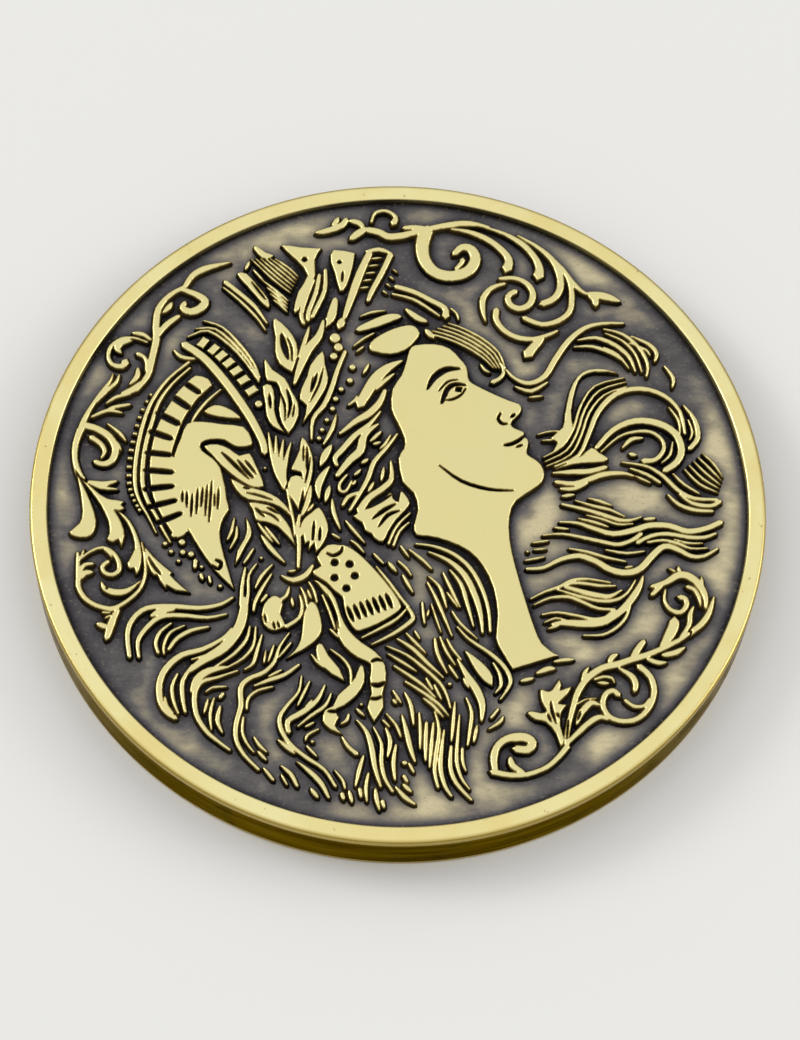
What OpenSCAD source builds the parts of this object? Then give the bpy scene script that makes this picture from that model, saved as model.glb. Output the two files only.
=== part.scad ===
// Struck brass medallion: one round blank with a raised rim on each side, an engraved
// relief of a head with blown hair, plumes and scrollwork, and a plain ornamental back.

/* [Blank] */
// Diameter over the smooth edge
coin_d = 44.5; // [30:0.5:70]
// Thickness over both rims
coin_t = 3.5; // [2:0.1:6]
// Width of the flat top of the front rim
front_rim_w = 1.05; // [0.6:0.05:2]
// Width of the flat top of the back rim
back_rim_w = 1.3; // [0.6:0.05:2.5]
// Height of a rim over its field
rim_h = 0.45; // [0.2:0.05:0.8]
// Rounding of the outer edge of each rim
edge_round = 0.2; // [0.05:0.05:0.35]

/* [Front relief] */
// How far the top of the front relief stays below the top of the rim
relief_drop = 0.05; // [0:0.01:0.15]
// Backward tilt of the head
head_tilt = 36; // [20:1:45]
// Height of the face, from hair line to under the chin
face_h = 13.5; // [11.5:0.1:14]

/* [Back relief] */
// How far the ornament on the back stays inside the top of the rim
back_relief_drop = 0.15; // [0:0.01:0.17]
// Diameter of the rosette in the middle
rosette_d = 13; // [8:0.5:16]
// Petals of the rosette
petals = 12; // [6:1:16]
// Scrolls in the ring around the rosette
scrolls = 10; // [6:1:14]
// Pearls inside the back rim
pearls = 72; // [36:4:96]
// Diameter of one pearl
pearl_d = 0.9; // [0.5:0.05:1.1]

/* [Hidden] */

$fn = 96;
coin_r = coin_d / 2;
front_field_r = coin_r - front_rim_w;
back_field_r = coin_r - back_rim_w;
blank_t = coin_t - 2 * rim_h;
back_field_z = rim_h;
front_field_z = rim_h + blank_t;
// Height of each side's relief over its field; the coin rests on its rims, never on the relief.
front_h = rim_h - relief_drop;
back_h = rim_h - back_relief_drop;

// Room left between one group of relief and the next, in artwork millimetres.
gap = 0.06;
// Room between the back rim and its pearls.
pearl_gap = 0.5;

rosette_r = rosette_d / 2;
petal_w = rosette_r * 2 * sin(180 / petals) * 0.62;
pearl_ring_r = back_field_r - pearl_d / 2 - pearl_gap;
scroll_ring_r = (rosette_r + pearl_ring_r - pearl_d / 2) / 2;
// The scrolls fill the ring between rosette and pearls, and stay clear of each other.
scroll_turn = sin(180 / scrolls);
scroll_k = min((pearl_ring_r - pearl_d / 2 - rosette_r) / 12,
  2 * scroll_ring_r * scroll_turn / (6.8 + 8.8 * scroll_turn));

// The artwork is drawn in millimetres inside a circle of this radius, then scaled to the field.
ART_R = 21.2;
art_k = front_field_r / ART_R;
// Where the hair line of the face starts, in artwork millimetres.
HEAD_AT = [-1.4, 10.9];

brass = [0.79, 0.72, 0.42];
patina = [0.36, 0.34, 0.33];

// ---- Artwork ------------------------------------------------------------------
// A piece of artwork is one of three lists:
//   [outline]                      a closed smooth outline; a point given twice is a corner
//   [widths, path]                 a stroke; widths are at its start, middle and end
//   [widths, path, path, count]    strokes spaced evenly from the first path to the second
// Own profile of the head: [forward, up] in face heights, from the hair line to under the chin.
FACE_PROFILE = [
  [0.225, -0.200], [0.236, -0.270], [0.238, -0.320], [0.222, -0.355], [0.208, -0.390],
  [0.222, -0.430], [0.262, -0.505], [0.305, -0.575], [0.332, -0.612], [0.328, -0.638],
  [0.300, -0.658], [0.258, -0.668], [0.240, -0.682], [0.244, -0.705], [0.262, -0.732],
  [0.268, -0.748], [0.250, -0.762], [0.250, -0.762], [0.262, -0.778], [0.256, -0.800],
  [0.228, -0.828], [0.218, -0.850], [0.232, -0.885], [0.240, -0.925], [0.226, -0.970],
  [0.190, -1.000], [0.130, -1.008]];
// Front of the neck: how far down from the throat to the base, and how far back from that line.
NECK_FRONT = [[0.07, 1], [0.165, 1.43], [0.315, 1.52], [0.495, 1.28], [0.725, 0.8], [0.89, 0.4]];
NECK_BASE = [8.95, -9.2];
// Cut base of the neck, nape and hair line, closing the outline of the head.
NAPE_AND_HAIRLINE = [
  [9.9, -9.9], [9.9, -9.9], [7.25, -10.95], [7.25, -10.95], [6.6, -9.9], [6.2, -9], [6.25, -7.5],
  [5.95, -5.8], [5.3, -4.4], [4.4, -3.4], [3.1, -2.8], [1.9, -2.55], [1.2, -2.5], [1, -1.9],
  [1.2, -0.8], [0.9, 0.3], [0.2, 1], [-0.15, 2.6], [0.15, 3.3], [0.15, 4], [-0.3, 5],
  [-0.75, 6], [-0.75, 7.4], [-0.25, 8.4], [0, 9.4], [0.15, 10.2], [0.5, 10.6], [1.7, 10.75]];
// Engraved lines of the face, widths and points in face heights: brow, lids, eye, nostril, lips and jaw.
FACE_LINES = [
  [[.0074, .0311, .0059], [[.205, -.315], [.15, -.285], [.08, -.29], [.02, -.325]]],
  [[.0089, .0222, .0089], [[.178, -.4], [.145, -.372], [.1, -.372], [.055, -.405], [.035, -.42]]],
  [[.0059, .0104, .0059], [[.17, -.415], [.13, -.432], [.085, -.43], [.06, -.415]]],
  [[.0044, .0089, .0044], [[.165, -.358], [.12, -.342], [.06, -.36]]],
  [[.037, .037, .037], [[.142, -.399], [.142, -.403]]],
  [[.0074, .0133, .0074], [[.232, -.607], [.208, -.625], [.208, -.655], [.228, -.668]]],
  [[.0074, .0148, .0074], [[.262, -.65], [.285, -.645]]],
  [[.0111, .0163, .0074], [[.252, -.762], [.215, -.768], [.175, -.762], [.155, -.752]]],
  [[.0059, .0104, .0044], [[.225, -.795], [.195, -.79]]],
  [[.0059, .0148, .0044], [[.06, -.965], [-.03, -.9], [-.11, -.8], [-.15, -.68]]]];
// Short dashes under the cut of the neck.
NECK_DASHES = [
  [[.2, .3, .2], [[7.8, -11.65], [8.45, -11.45]]],
  [[.2, .38, .2], [[8.7, -11.1], [9.3, -10.8], [9.7, -10.75]]],
  [[.15, .3, .15], [[9.7, -10.3], [10.3, -10.15], [10.8, -10.1]]]];

// Locks over the forehead and crown.
FOREHEAD_LOCKS = [
  [[[-1.9, 9.95], [-1, 9.85], [-.1, 10.2], [.5, 10.9], [.75, 11.5], [.4, 11.95], [-.1, 12],
    [-.9, 11.7], [-1.7, 11.2], [-2.3, 10.6], [-2.3, 10.1]]],
  [[.35, .65, .35], [[-3.1, 11.5], [-2.2, 11.95], [-1.2, 12.45], [-.6, 12.6]]],
  [[.1, .2, .1], [[-3.3, 10.3], [-2.8, 10.8], [-2.1, 11.3]]],
  [[.1, .2, .1], [[-3.1, 9.9], [-2.7, 10.3]]],
  [[.1, .22, .1], [[-3, 12.45], [-2.3, 12.8], [-1.5, 12.95]]],
  [[.2, .45, .25], [[-.2, 13.15], [.5, 12.6], [1.1, 12.35]]],
  [[.35, .38, .5], [[-.9, 14.75], [.2, 14.45], [1.3, 13.9], [2.2, 13.4], [2.3, 12.8]]],
  [[.15, .25, .15], [[-1.1, 14.2], [.2, 13.9], [1.2, 13.3], [1.9, 12.8]]],
  [[.1, .2, .1], [[2.6, 13.4], [3, 13], [3.1, 12.6]]],
  [[.1, .19, .1], [[2.5, 12.3], [3.5, 11.95], [4.7, 11.3], [5.7, 10.4], [6.15, 9.3]],
    [[1.2, 11.5], [2.4, 11.2], [3.6, 10.7], [4.7, 10], [5.4, 9.3]], 5],
  [[.2, .42, .15], [[1.1, 11.75], [1.6, 11.2]]],
  [[.12, .28, .35], [[5.9, 9.6], [6.05, 9], [5.8, 8.55], [5.4, 8.3]]],
  [[.1, .22, .1], [[4.6, 9.5], [4.9, 9.1], [5.2, 8.95]]]];

// Wavy locks beside the temple and cheek, with the hatched lock over the jaw.
SIDE_LOCKS = [
  [[.12, .75, .6], [[-.25, 9.45], [-1.1, 8.9], [-1.8, 8.1], [-2.3, 7.1], [-2.7, 6.2]]],
  [[.1, .3, .12], [[-.7, 8.5], [-1.3, 7.9], [-1.75, 7.3]]],
  [[.25, .5, .2], [[-1.2, 7.3], [-1.5, 6.4], [-2.1, 5.6], [-2.9, 5], [-3.8, 4.1]]],
  [[.12, .4, .25], [[-1.4, 5.8], [-2, 4.9], [-2.9, 4], [-3.6, 3], [-4, 2.4], [-3.85, 1.9]]],
  [[.15, .55, .3], [[-1.5, 4.9], [-2.3, 4.1], [-2.5, 3], [-3.1, 2.3], [-3.8, 1.2]]],
  [[.12, .25, .12], [[-2.3, 9.1], [-2.6, 8.4]]],
  [[.15, .28, .15], [[-1.9, 3.7], [-1.3, 4.4]]],
  [[.15, .25, .15], [[-1.7, 3.5], [-1.3, 3.65]]],
  [[.12, .25, .12], [[-3.4, 6.1], [-3, 6.5], [-2.9, 6.8]]],
  [[.15, .33, .2], [[-.3, 4.3], [-.9, 3.3], [-1.6, 2.3], [-1.9, 1.2], [-2.3, .2], [-2.9, -1.1]]],
  [[.12, .2, .1], [[-.7, 4.2], [-1, 3.6], [-1.3, 3.2]]],
  [[.15, .42, .5], [[-.6, 2.4], [-.5, 1.2], [-1, .5], [-1.8, -.2], [-2.3, -1.1]]],
  [[.12, .25, .12], [[-1, 1.95], [-1.1, 1.05]]],
  [[.1, .25, .12], [[-1.55, .9], [-1.85, .25]]],
  [[.2, .28, .2], [[-2.4, .15], [-3.05, -.2], [-3.35, -.8]]],
  [[.15, .24, .15], [[-3.2, 1.3], [-3.6, .7], [-3.55, .2], [-3.2, .2], [-2.9, .9]]],
  [[.12, .25, .12], [[-2.4, 1.7], [-2.75, 1.3]]],
  [[.15, .3, .15], [[-2, 2.45], [-2.35, 2.15]]],
  [[.12, .22, .12], [[-2.65, .95], [-2.8, .65]]],
  [[[-2.65, -1.5], [-2.1, -1.05], [-1.3, -.6], [-.5, .25], [-.35, -.1], [0, -.35], [.1, .4],
    [.45, .1], [.7, -.4], [.4, -.95], [-.1, -1.6], [-.5, -2.4], [-.8, -3.1], [-1.3, -2.9],
    [-1.5, -2.6], [-1.9, -2.4], [-2.1, -1.9]]],
  [[.12, .2, .18], [[.75, -1.05], [.15, -1.75], [-.2, -2.4], [-.45, -3.2]]],
  [[.12, .2, .18], [[.7, -1.7], [.15, -2.35], [-.15, -3.3]]]];
SIDE_HATCH = [
  [[.05, .25, .05], [[-.45, .1], [-1.1, -.35], [-1.8, -.9]]],
  [[.05, .25, .05], [[-.15, -.5], [-.8, -.95], [-1.5, -1.6]]],
  [[.05, .22, .05], [[.1, -.95], [-.6, -1.3], [-1.1, -2.1]]]];

// Leaves and blades that rise from the knot, with beads beside their stem.
LEAF_SPRAY = [
  [[[-8.3, 12], [-7.4, 11.2], [-6.85, 10.3], [-6.75, 9.3], [-7, 8.2], [-7, 8.2], [-7.8, 8.7],
    [-8.15, 9.6], [-8.2, 10.6], [-8.4, 11.5]]],
  [[.2, .6, .2], [[-5.3, 12], [-5.5, 10.9], [-6.1, 9.9], [-6.5, 8.7], [-6.8, 7.4]]],
  [[.12, .3, .12], [[-6.15, 11.5], [-6.35, 10.5], [-6.65, 9.3]]],
  [[[-5.2, 9.85], [-5, 8.9], [-4.75, 8], [-4.85, 7.2], [-5.25, 6.3], [-5.7, 5.4], [-6.1, 4.7],
    [-6.1, 4.7], [-5.95, 5.9], [-6.4, 6.3], [-6.35, 7.1], [-6.05, 8], [-5.9, 8.8]]],
  [[[-8.75, 9.1], [-8.2, 8.3], [-7.4, 7.75], [-6.95, 6.9], [-6.5, 6.1], [-6.4, 5.2], [-6.7, 4.3],
    [-6.95, 3.9], [-6.95, 3.9], [-7.4, 4.6], [-7.65, 5.6], [-7.6, 6.6], [-7.9, 7.4], [-8.5, 7.5],
    [-8.7, 8.3]]],
  [[[-8.75, 7.1], [-8.2, 7.2], [-7.95, 6.4], [-7.9, 5.5], [-7.6, 4.6], [-7.2, 4], [-7.2, 4],
    [-7.9, 4.3], [-8.35, 5], [-8.5, 5.9]]],
  [[.1, .3, .15], [[-8.15, 3.9], [-7.9, 2.6], [-7.5, 1.2], [-6.95, .1]],
    [[-6.75, 3.3], [-6.95, 2.2], [-7, 1.2], [-6.85, .5]], 4],
  [[[-6.1, 3.75], [-5.55, 3], [-5.3, 2], [-5.35, .8], [-5.7, -.5], [-5.7, -.5], [-5.85, .6],
    [-6, 1.3], [-6.6, 1.4], [-6.45, 2], [-6.2, 2.8]]],
  [[[-6.6, .95], [-5.95, 1], [-5.8, .2], [-6, -1.2], [-6, -1.2], [-6.4, -.6], [-6.75, 0]]],
  [[[-12, 2.7], [-11.2, 2.9], [-10.4, 2.6], [-9.8, 2.2], [-9.2, 2.4], [-8.8, 1.7], [-8.4, .9],
    [-8.2, .2], [-8.8, .1], [-9.5, .4], [-10.2, .9], [-10.9, 1.5], [-11.5, 2.15]]],
  [[[-10.2, .6], [-9.3, .15], [-8.2, -.1], [-7.3, -.5], [-6.6, -1.2], [-6.35, -1.8],
    [-6.35, -1.8], [-7.1, -1.15], [-8, -.85], [-9.1, -.75], [-9.8, -.2]]],
  [[[-9, -.95], [-8.2, -.98], [-7.5, -1.2], [-6.9, -1.8], [-6.4, -2.5], [-6.05, -3.6],
    [-6.05, -3.6], [-6.6, -3], [-7.2, -2.45], [-7.9, -2.2], [-8.5, -2.1], [-8.7, -1.5]]],
  [[.1, .24, .1], [[-8.35, -2.3], [-7.9, -2.9], [-7.4, -3.5]]],
  [[.1, .22, .1], [[-7.9, -2.5], [-7.4, -3.1], [-7, -3.6]]],
  [[.1, .35, .12], [[-8.1, -3.1], [-7.5, -3.9], [-6.6, -4.8]]],
  [[.2, .3, .2], [[-5.9, -1.6], [-5.95, -2.5], [-5.8, -3.6], [-5.75, -5.1]]],
  [[.12, .2, .12], [[-6.8, .1], [-6.5, -1], [-6.2, -2.2], [-6.1, -3]]],
  [[.15, .35, .2], [[-5.35, .4], [-5.45, -.6], [-5.75, -1.6]]],
  [[[-4.75, -1], [-4.3, -1.7], [-4.1, -2.5], [-4.35, -3.4], [-4.75, -4], [-4.9, -3.4],
    [-5.2, -3.9], [-5.2, -3.3], [-5.45, -3.5], [-5.6, -2.9], [-5.8, -3.2], [-5.8, -2.4],
    [-5.6, -1.8], [-5.2, -1.4]]],
  [[.1, .22, .1], [[-5.1, -.8], [-5.4, -1.3]]],
  [[.1, .5, .1], [[-4.25, 3.3], [-4.6, 2.6], [-4.85, 1.8]]],
  [[.1, .5, .12], [[-4.3, 1.8], [-4.7, 1.1], [-4.9, .4], [-4.8, -.4]]],
  [[.1, .35, .1], [[-4.2, .5], [-4.3, 0], [-4.4, -.6]]],
  [[.1, .3, .1], [[-4, -.4], [-3.85, -1.3], [-3.4, -2.4]]],
  [[.1, .25, .1], [[-3.1, -1.8], [-2.6, -2.4], [-1.9, -3.2]]],
  [[.1, .2, .1], [[-2.7, -3.1], [-2.3, -3.4], [-1.9, -3.85]]],
  [[.1, .2, .1], [[-3.85, -2.75], [-3.4, -3]]],
  [[.25, .35, .15], [[-3.8, 9.9], [-4.2, 8.6], [-4.5, 7.2], [-4.9, 6], [-5.5, 5], [-5.5, 3.6]]],
  [[.12, .3, .12], [[-4.1, 5.4], [-4.3, 4.4], [-4.75, 3.3]]],
  [[.7, .7, .7], [[-4.5, 10.8]]], [[.6, .6, .6], [[-4.25, 10.15]]], [[.5, .5, .5], [[-4.5, 9.5]]],
  [[.42, .42, .42], [[-3.3, 8.8]]], [[.4, .4, .4], [[-3.4, 7.85]]], [[.35, .35, .35], [[-3.9, 7.2]]],
  [[.36, .36, .36], [[-4.2, 6.5]]], [[.34, .34, .34], [[-4.35, 5.8]]], [[.3, .3, .3], [[-4.65, 5]]],
  [[.3, .3, .3], [[-4.9, 4.3]]], [[.3, .3, .3], [[-5.05, 3.7]]]];
LEAF_VEINS = [
  [[.08, .4, .08], [[-7.85, 10.9], [-7.6, 10], [-7.3, 9.1]]],
  [[.05, .22, .05], [[-5.45, 8.2], [-5.75, 6.9]]],
  [[.05, .2, .05], [[-7.25, 7], [-6.95, 6], [-7.05, 5]]],
  [[.05, .18, .05], [[-8.3, 6.6], [-8.15, 5.6]]],
  [[.05, .18, .05], [[-5.75, 3], [-5.6, 1.3]]],
  [[.05, .22, .05], [[-10.9, 2.35], [-10, 1.5], [-9.1, .65]]],
  [[.05, .16, .05], [[-9.8, 1.8], [-9.3, 1.2], [-8.85, .75]]],
  [[.05, .16, .05], [[-9.45, 1.9], [-8.7, 1]]],
  [[.05, .2, .05], [[-9.4, .05], [-9, .02]]],
  [[.05, .18, .05], [[-8.6, -1.3], [-8, -1.85]]],
  [[.05, .18, .05], [[-7.9, -1.2], [-7.1, -1.6]]],
  [[.05, .16, .1], [[-5, -2], [-5, -3.2]]],
  [[.05, .16, .1], [[-4.6, -2.4], [-4.6, -3.2]]],
  [[.04, .12, .04], [[-7.45, 10.6], [-7.15, 9.9], [-7.05, 9]]],
  [[.04, .12, .04], [[-7.75, 6.9], [-7.3, 5.9], [-7.2, 4.8]]],
  [[.04, .12, .04], [[-5.1, 8.6], [-5.3, 7.4], [-5.75, 6.2]]],
  [[.04, .12, .04], [[-5.95, 3.1], [-5.9, 2.1]]],
  [[.04, .12, .04], [[-5.5, 2.3], [-5.6, 1.3], [-5.7, .6]]],
  [[.04, .12, .04], [[-9.9, 1.9], [-9.4, 1.2], [-8.9, .7]]],
  [[.04, .12, .04], [[-9.2, -.3], [-8.4, -.45], [-7.6, -.7]]],
  [[.04, .12, .04], [[-8.3, -1.5], [-7.6, -1.7], [-7.1, -2.1]]],
  [[.04, .1, .04], [[-6.7, 5.9], [-6.75, 5.1]]],
  [[.04, .1, .04], [[-5.7, 7.9], [-5.75, 6.9]]]];

// Fan of quills at the top of the spray.
FEATHER_FAN = [
  [[[-8.3, 17.3], [-7, 17.25], [-5.75, 17.25], [-5.75, 17.25], [-6.1, 16.4], [-6, 15.3],
    [-6.3, 14.2], [-6.9, 12.6], [-7.2, 12.6], [-7, 14], [-6.5, 15.2], [-7.2, 16.2]]],
  [[.25, .32, .25], [[-6.1, 14.9], [-6.4, 13.9], [-6.7, 12.4], [-6.5, 11.7]],
    [[-5.4, 15.7], [-5.35, 14.2], [-5.8, 12.8], [-6, 12.2]], 3],
  [[[-5, 17.2], [-3.6, 17.05], [-3.6, 17.05], [-3.7, 16], [-4, 14.6], [-4.4, 14.2], [-4.8, 15.5],
    [-5.1, 16.3]]],
  [[.45, .55, .3], [[-2.7, 17.1], [-3.2, 15.6], [-3.6, 14], [-4, 12.3]]],
  [[.4, .38, .25], [[-1.35, 17.1], [-1.8, 15.8], [-2.4, 14.3], [-2.6, 13.6]]],
  [[.08, .16, .08], [[-2.5, 16.7], [-1.95, 16.8]], [[-3.1, 14.5], [-2.65, 14.6]], 5],
  [[.08, .15, .08], [[-1.15, 16], [-.9, 15.8]], [[-1.7, 14.4], [-1.45, 14.2]], 4],
  [[.2, .35, .2], [[-2.9, 17.2], [-2.1, 17.4], [-1.4, 17.2]]],
  [[.35, .6, .3], [[-4.65, 13.6], [-4.75, 12.8], [-4.9, 12.1], [-5.4, 11.5]]],
  [[.3, .55, .2], [[-4.1, 12.2], [-4.3, 11.5]]],
  [[.3, .5, .2], [[-9.9, 17.05], [-9.3, 16.5], [-8.8, 16.5]]],
  [[.08, .17, .08], [[-10.1, 16.2], [-9.2, 15.3], [-8.3, 14.5], [-7.5, 13.9]],
    [[-8.6, 16.3], [-8, 15.9], [-7.5, 15.5], [-7.1, 15.1]], 6],
  [[.1, .2, .1], [[-9.9, 15.4], [-9.2, 14.6]]],
  [[.08, .2, .08], [[-9.2, 14.6], [-8.3, 13.9], [-7.6, 13.3]],
    [[-8.5, 13.3], [-8, 12.9], [-7.6, 12.5]], 4],
  [[[-10.9, 15.1], [-10.3, 15.1], [-9.6, 14.3], [-8.8, 13.3], [-8.75, 12.7], [-9.1, 12.9],
    [-9.9, 13.8], [-10.7, 14.7]]],
  [[.35, .32, .15], [[-11.6, 14.4], [-10.6, 13.6], [-9.6, 12.7], [-8.8, 11.6]]],
  [[.12, .22, .1], [[-11.7, 14], [-10.6, 13.1], [-9.5, 12], [-8.85, 11.1]]],
  [[.15, .25, .1], [[-10.4, 15.4], [-10.2, 16]]]];
FEATHER_DOTS = [
  [[.34, .34, .34], [[-6.75, 16.35]]],
  [[.26, .26, .26], [[-4.55, 16.3]]],
  [[.06, .14, .06], [[-9.95, 14.5], [-9.4, 13.8], [-9, 13.3]]],
  [[.06, .14, .06], [[-4.3, 15.6], [-4.3, 14.9]]]];

// Crescent comb: the smooth horn with its teeth, the rails around it, its cross bar and loose beads.
CRESCENT_COMB = [
  [[[-12.9, 7.6], [-13.4, 7.05], [-13.9, 6.4], [-14.3, 5.6], [-14.7, 4.7], [-15, 3.7],
    [-15.15, 2.7], [-15.2, 1.5], [-15.1, .4], [-14.9, -.6], [-14.6, -1.4], [-14.1, -2.3],
    [-13.5, -3.2], [-13.1, -3.6], [-13.1, -3.6], [-12.5, -3.1], [-12.9, -1.6], [-13.2, 0],
    [-13.4, 1.4], [-13.95, 2], [-13.95, 2], [-13.7, 3.3], [-13.35, 4.6], [-12.7, 5.9],
    [-11.85, 6.95], [-11.85, 6.95], [-12.1, 7.4]]],
  [[.12, .22, .12], [[-11.3, 6.7], [-12.1, 5.8], [-12.7, 4.8], [-12.9, 4.2]]],
  [[[-12.2, 5.1], [-11.6, 5.6], [-10.9, 5.5], [-10.2, 5.1], [-9.95, 4.75], [-10.8, 4.75],
    [-11.6, 4.85]]],
  [[[-13.15, 4.2], [-12.2, 4.4], [-11, 4.3], [-9.7, 4.2], [-9.15, 3.4], [-9.15, 2.95],
    [-9.7, 2.8], [-10.2, 2.85], [-10.8, 3.2], [-11.6, 3.2], [-12.2, 2.9], [-12.1, 2.4],
    [-11.4, 1.9], [-10.9, 1.3], [-10.65, .5], [-10.5, 0], [-10.35, -.8], [-10.15, -1.5],
    [-10.45, -2.1], [-10.6, -3], [-10.4, -4], [-10, -5.2], [-9.65, -6.2], [-9.5, -6.7],
    [-9.5, -6.7], [-10.3, -6], [-11.2, -4.95], [-12, -3.8], [-12.8, -2.5], [-13.25, -1.4],
    [-13.5, -.4], [-13.75, .8], [-13.75, 2], [-13.45, 3.2]]],
  [[.5, .58, .4], [[-13.8, 9.75], [-12.6, 8.95], [-11.5, 7.8], [-10.4, 6.4], [-9.3, 4.8],
    [-8.5, 3.3], [-8.3, 2.5]]],
  [[.12, .3, .2], [[-14.4, 9.3], [-13.9, 8.85], [-13.1, 8.75]]],
  [[.15, .3, .15], [[-13.3, 8.1], [-14.3, 6.9], [-15, 5.6], [-15.3, 4.2], [-15.55, 2.6],
    [-15.6, 1], [-15.45, -.3], [-15, -1.4], [-14.5, -2.2], [-14, -3.1], [-13.5, -3.9]]],
  [[.2, .28, .1], [[-13.4, 8.5], [-14.6, 7.2], [-15.4, 5.7], [-15.8, 4.2], [-16, 2.6],
    [-16.05, 1], [-15.9, -.4], [-15.5, -1.4], [-15, -2.2], [-14.4, -3.3]]],
  [[.12, .22, .12], [[-12.7, 11.5], [-11.5, 11.1], [-10.3, 9.9], [-9.4, 8.7], [-8.95, 7.7]],
    [[-13.6, 10.3], [-12.4, 10.8], [-10.9, 9.8], [-9.9, 8.7], [-9, 7.4]], 3],
  [[.5, .5, .5], [[-8.9, 5.85]]],
  [[.4, .4, .4], [[-13.3, -3.4]]], [[.42, .42, .42], [[-12.8, -3.85]]],
  [[.36, .36, .36], [[-12.7, -4.5]]], [[.38, .38, .38], [[-12.2, -4.6]]],
  [[.3, .3, .3], [[-13.8, -4]]], [[.28, .28, .28], [[-13.4, -4.5]]],
  [[.26, .26, .26], [[-12.9, -5.1]]], [[.3, .26, .2], [[-11.9, -5], [-11.9, -5.5]]],
  [[.22, .22, .22], [[-11.5, -5.4]]], [[.26, .26, .2], [[-11.5, -5.9], [-11.4, -6.2]]],
  [[.2, .2, .15], [[-11, -6], [-10.9, -6.4]]], [[.26, .26, .26], [[-10.3, -6.6]]]];
COMB_HATCH = [
  [[.3, .36, .3], [[-13.45, 6.95], [-12.6, 6.4]]],
  [[.35, .42, .35], [[-14.3, 6.05], [-13.15, 5.3]]],
  [[.35, .42, .35], [[-15, 4.8], [-13.7, 4.15]]],
  [[.35, .4, .3], [[-15.3, 3.5], [-14.05, 3.1]]],
  [[.35, .36, .3], [[-15.4, 2.05], [-14, 1.98]]],
  [[.35, .36, .3], [[-15.4, .85], [-13.8, .8]]],
  [[.35, .38, .3], [[-15.3, -.45], [-13.7, -.15]]],
  [[.35, .36, .3], [[-15, -1.65], [-13.45, -1.1]]],
  [[.35, .36, .28], [[-14.4, -2.7], [-13.05, -1.95]]],
  [[.05, .15, .05], [[-13.05, -.45], [-13, -1.15]]],
  [[.05, .15, .05], [[-12.8, -.45], [-12.7, -1.5]]],
  [[.05, .15, .05], [[-12.45, -.6], [-12.4, -2.1]]],
  [[.05, .15, .05], [[-12.15, -.2], [-12.1, -1.9]]],
  [[.05, .15, .05], [[-11.85, -.15], [-11.85, -1.4]]],
  [[.05, .15, .05], [[-11.6, .05], [-11.55, -2]]],
  [[.05, .16, .05], [[-11.35, .35], [-11.3, -2.4]]],
  [[.05, .13, .05], [[-11.1, -.5], [-11.05, -1.3]]],
  [[.05, .15, .05], [[-10.9, -.1], [-10.85, -1.5]]],
  [[.1, .22, .12], [[-10.9, -5.3], [-10.5, -5.5], [-10.35, -5.1], [-10.7, -4.9]]]];
// Line of the ladder blocks above the cross bar.
LADDER_LINE = [[-12.9, 10.1], [-12, 9.55], [-11.3, 8.95], [-10.6, 8.25], [-9.9, 7.4], [-9.2, 6.5]];
// Serrated outer edge of the comb.
SERRATION_LINE = [[-15.4, 6.2], [-15.95, 4.8], [-16.25, 3.2], [-16.4, 1.6], [-16.3, 0],
  [-15.9, -1.1], [-15.4, -1.9]];

// Bell shaped ornament with its lip bars.
BELL = [
  [[[-4.7, -4.35], [-4.1, -3.5], [-3.4, -3.45], [-2.9, -3.5], [-2.2, -3.95], [-1.4, -4.7],
    [-.6, -5.6], [.1, -6.5], [.5, -7.2], [.4, -7.55], [-.1, -8], [-.8, -8.5], [-1.6, -8.9],
    [-2.1, -9], [-2.6, -8.3], [-2.9, -7.4], [-3, -6.9], [-3.5, -6.5], [-4, -6], [-4.8, -5.5],
    [-4.8, -5.2], [-4.4, -4.9]]],
  [[.12, .24, .12], [[.8, -7.45], [.3, -8.1], [-.6, -8.75], [-1.7, -9.45]]],
  [[.12, .22, .25], [[-1.1, -4.75], [-.3, -5.7], [.45, -6.7], [.95, -7.3]]],
  [[.25, .3, .12], [[.9, -7.3], [1.25, -7.9], [1, -8.35], [.1, -9.1], [-1.1, -9.85]]]];
BELL_DOTS = [[-3.6, -4.65], [-2.7, -4.7], [-3.55, -5.65], [-2.35, -5.45], [-2.8, -6.3]];
// Tops of the first and last slot above the lip, and the lean of a slot.
BELL_SLOTS = [[-2.68, -7.5], [-.45, -6.5]];
BELL_SLOT_LEAN = [.42, -.9];
BELL_NOTCHES = [
  [[.1, .2, .1], [[-4.1, -4.05], [-3.7, -4.2], [-3.3, -3.95], [-3.2, -3.6]]]];

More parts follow.
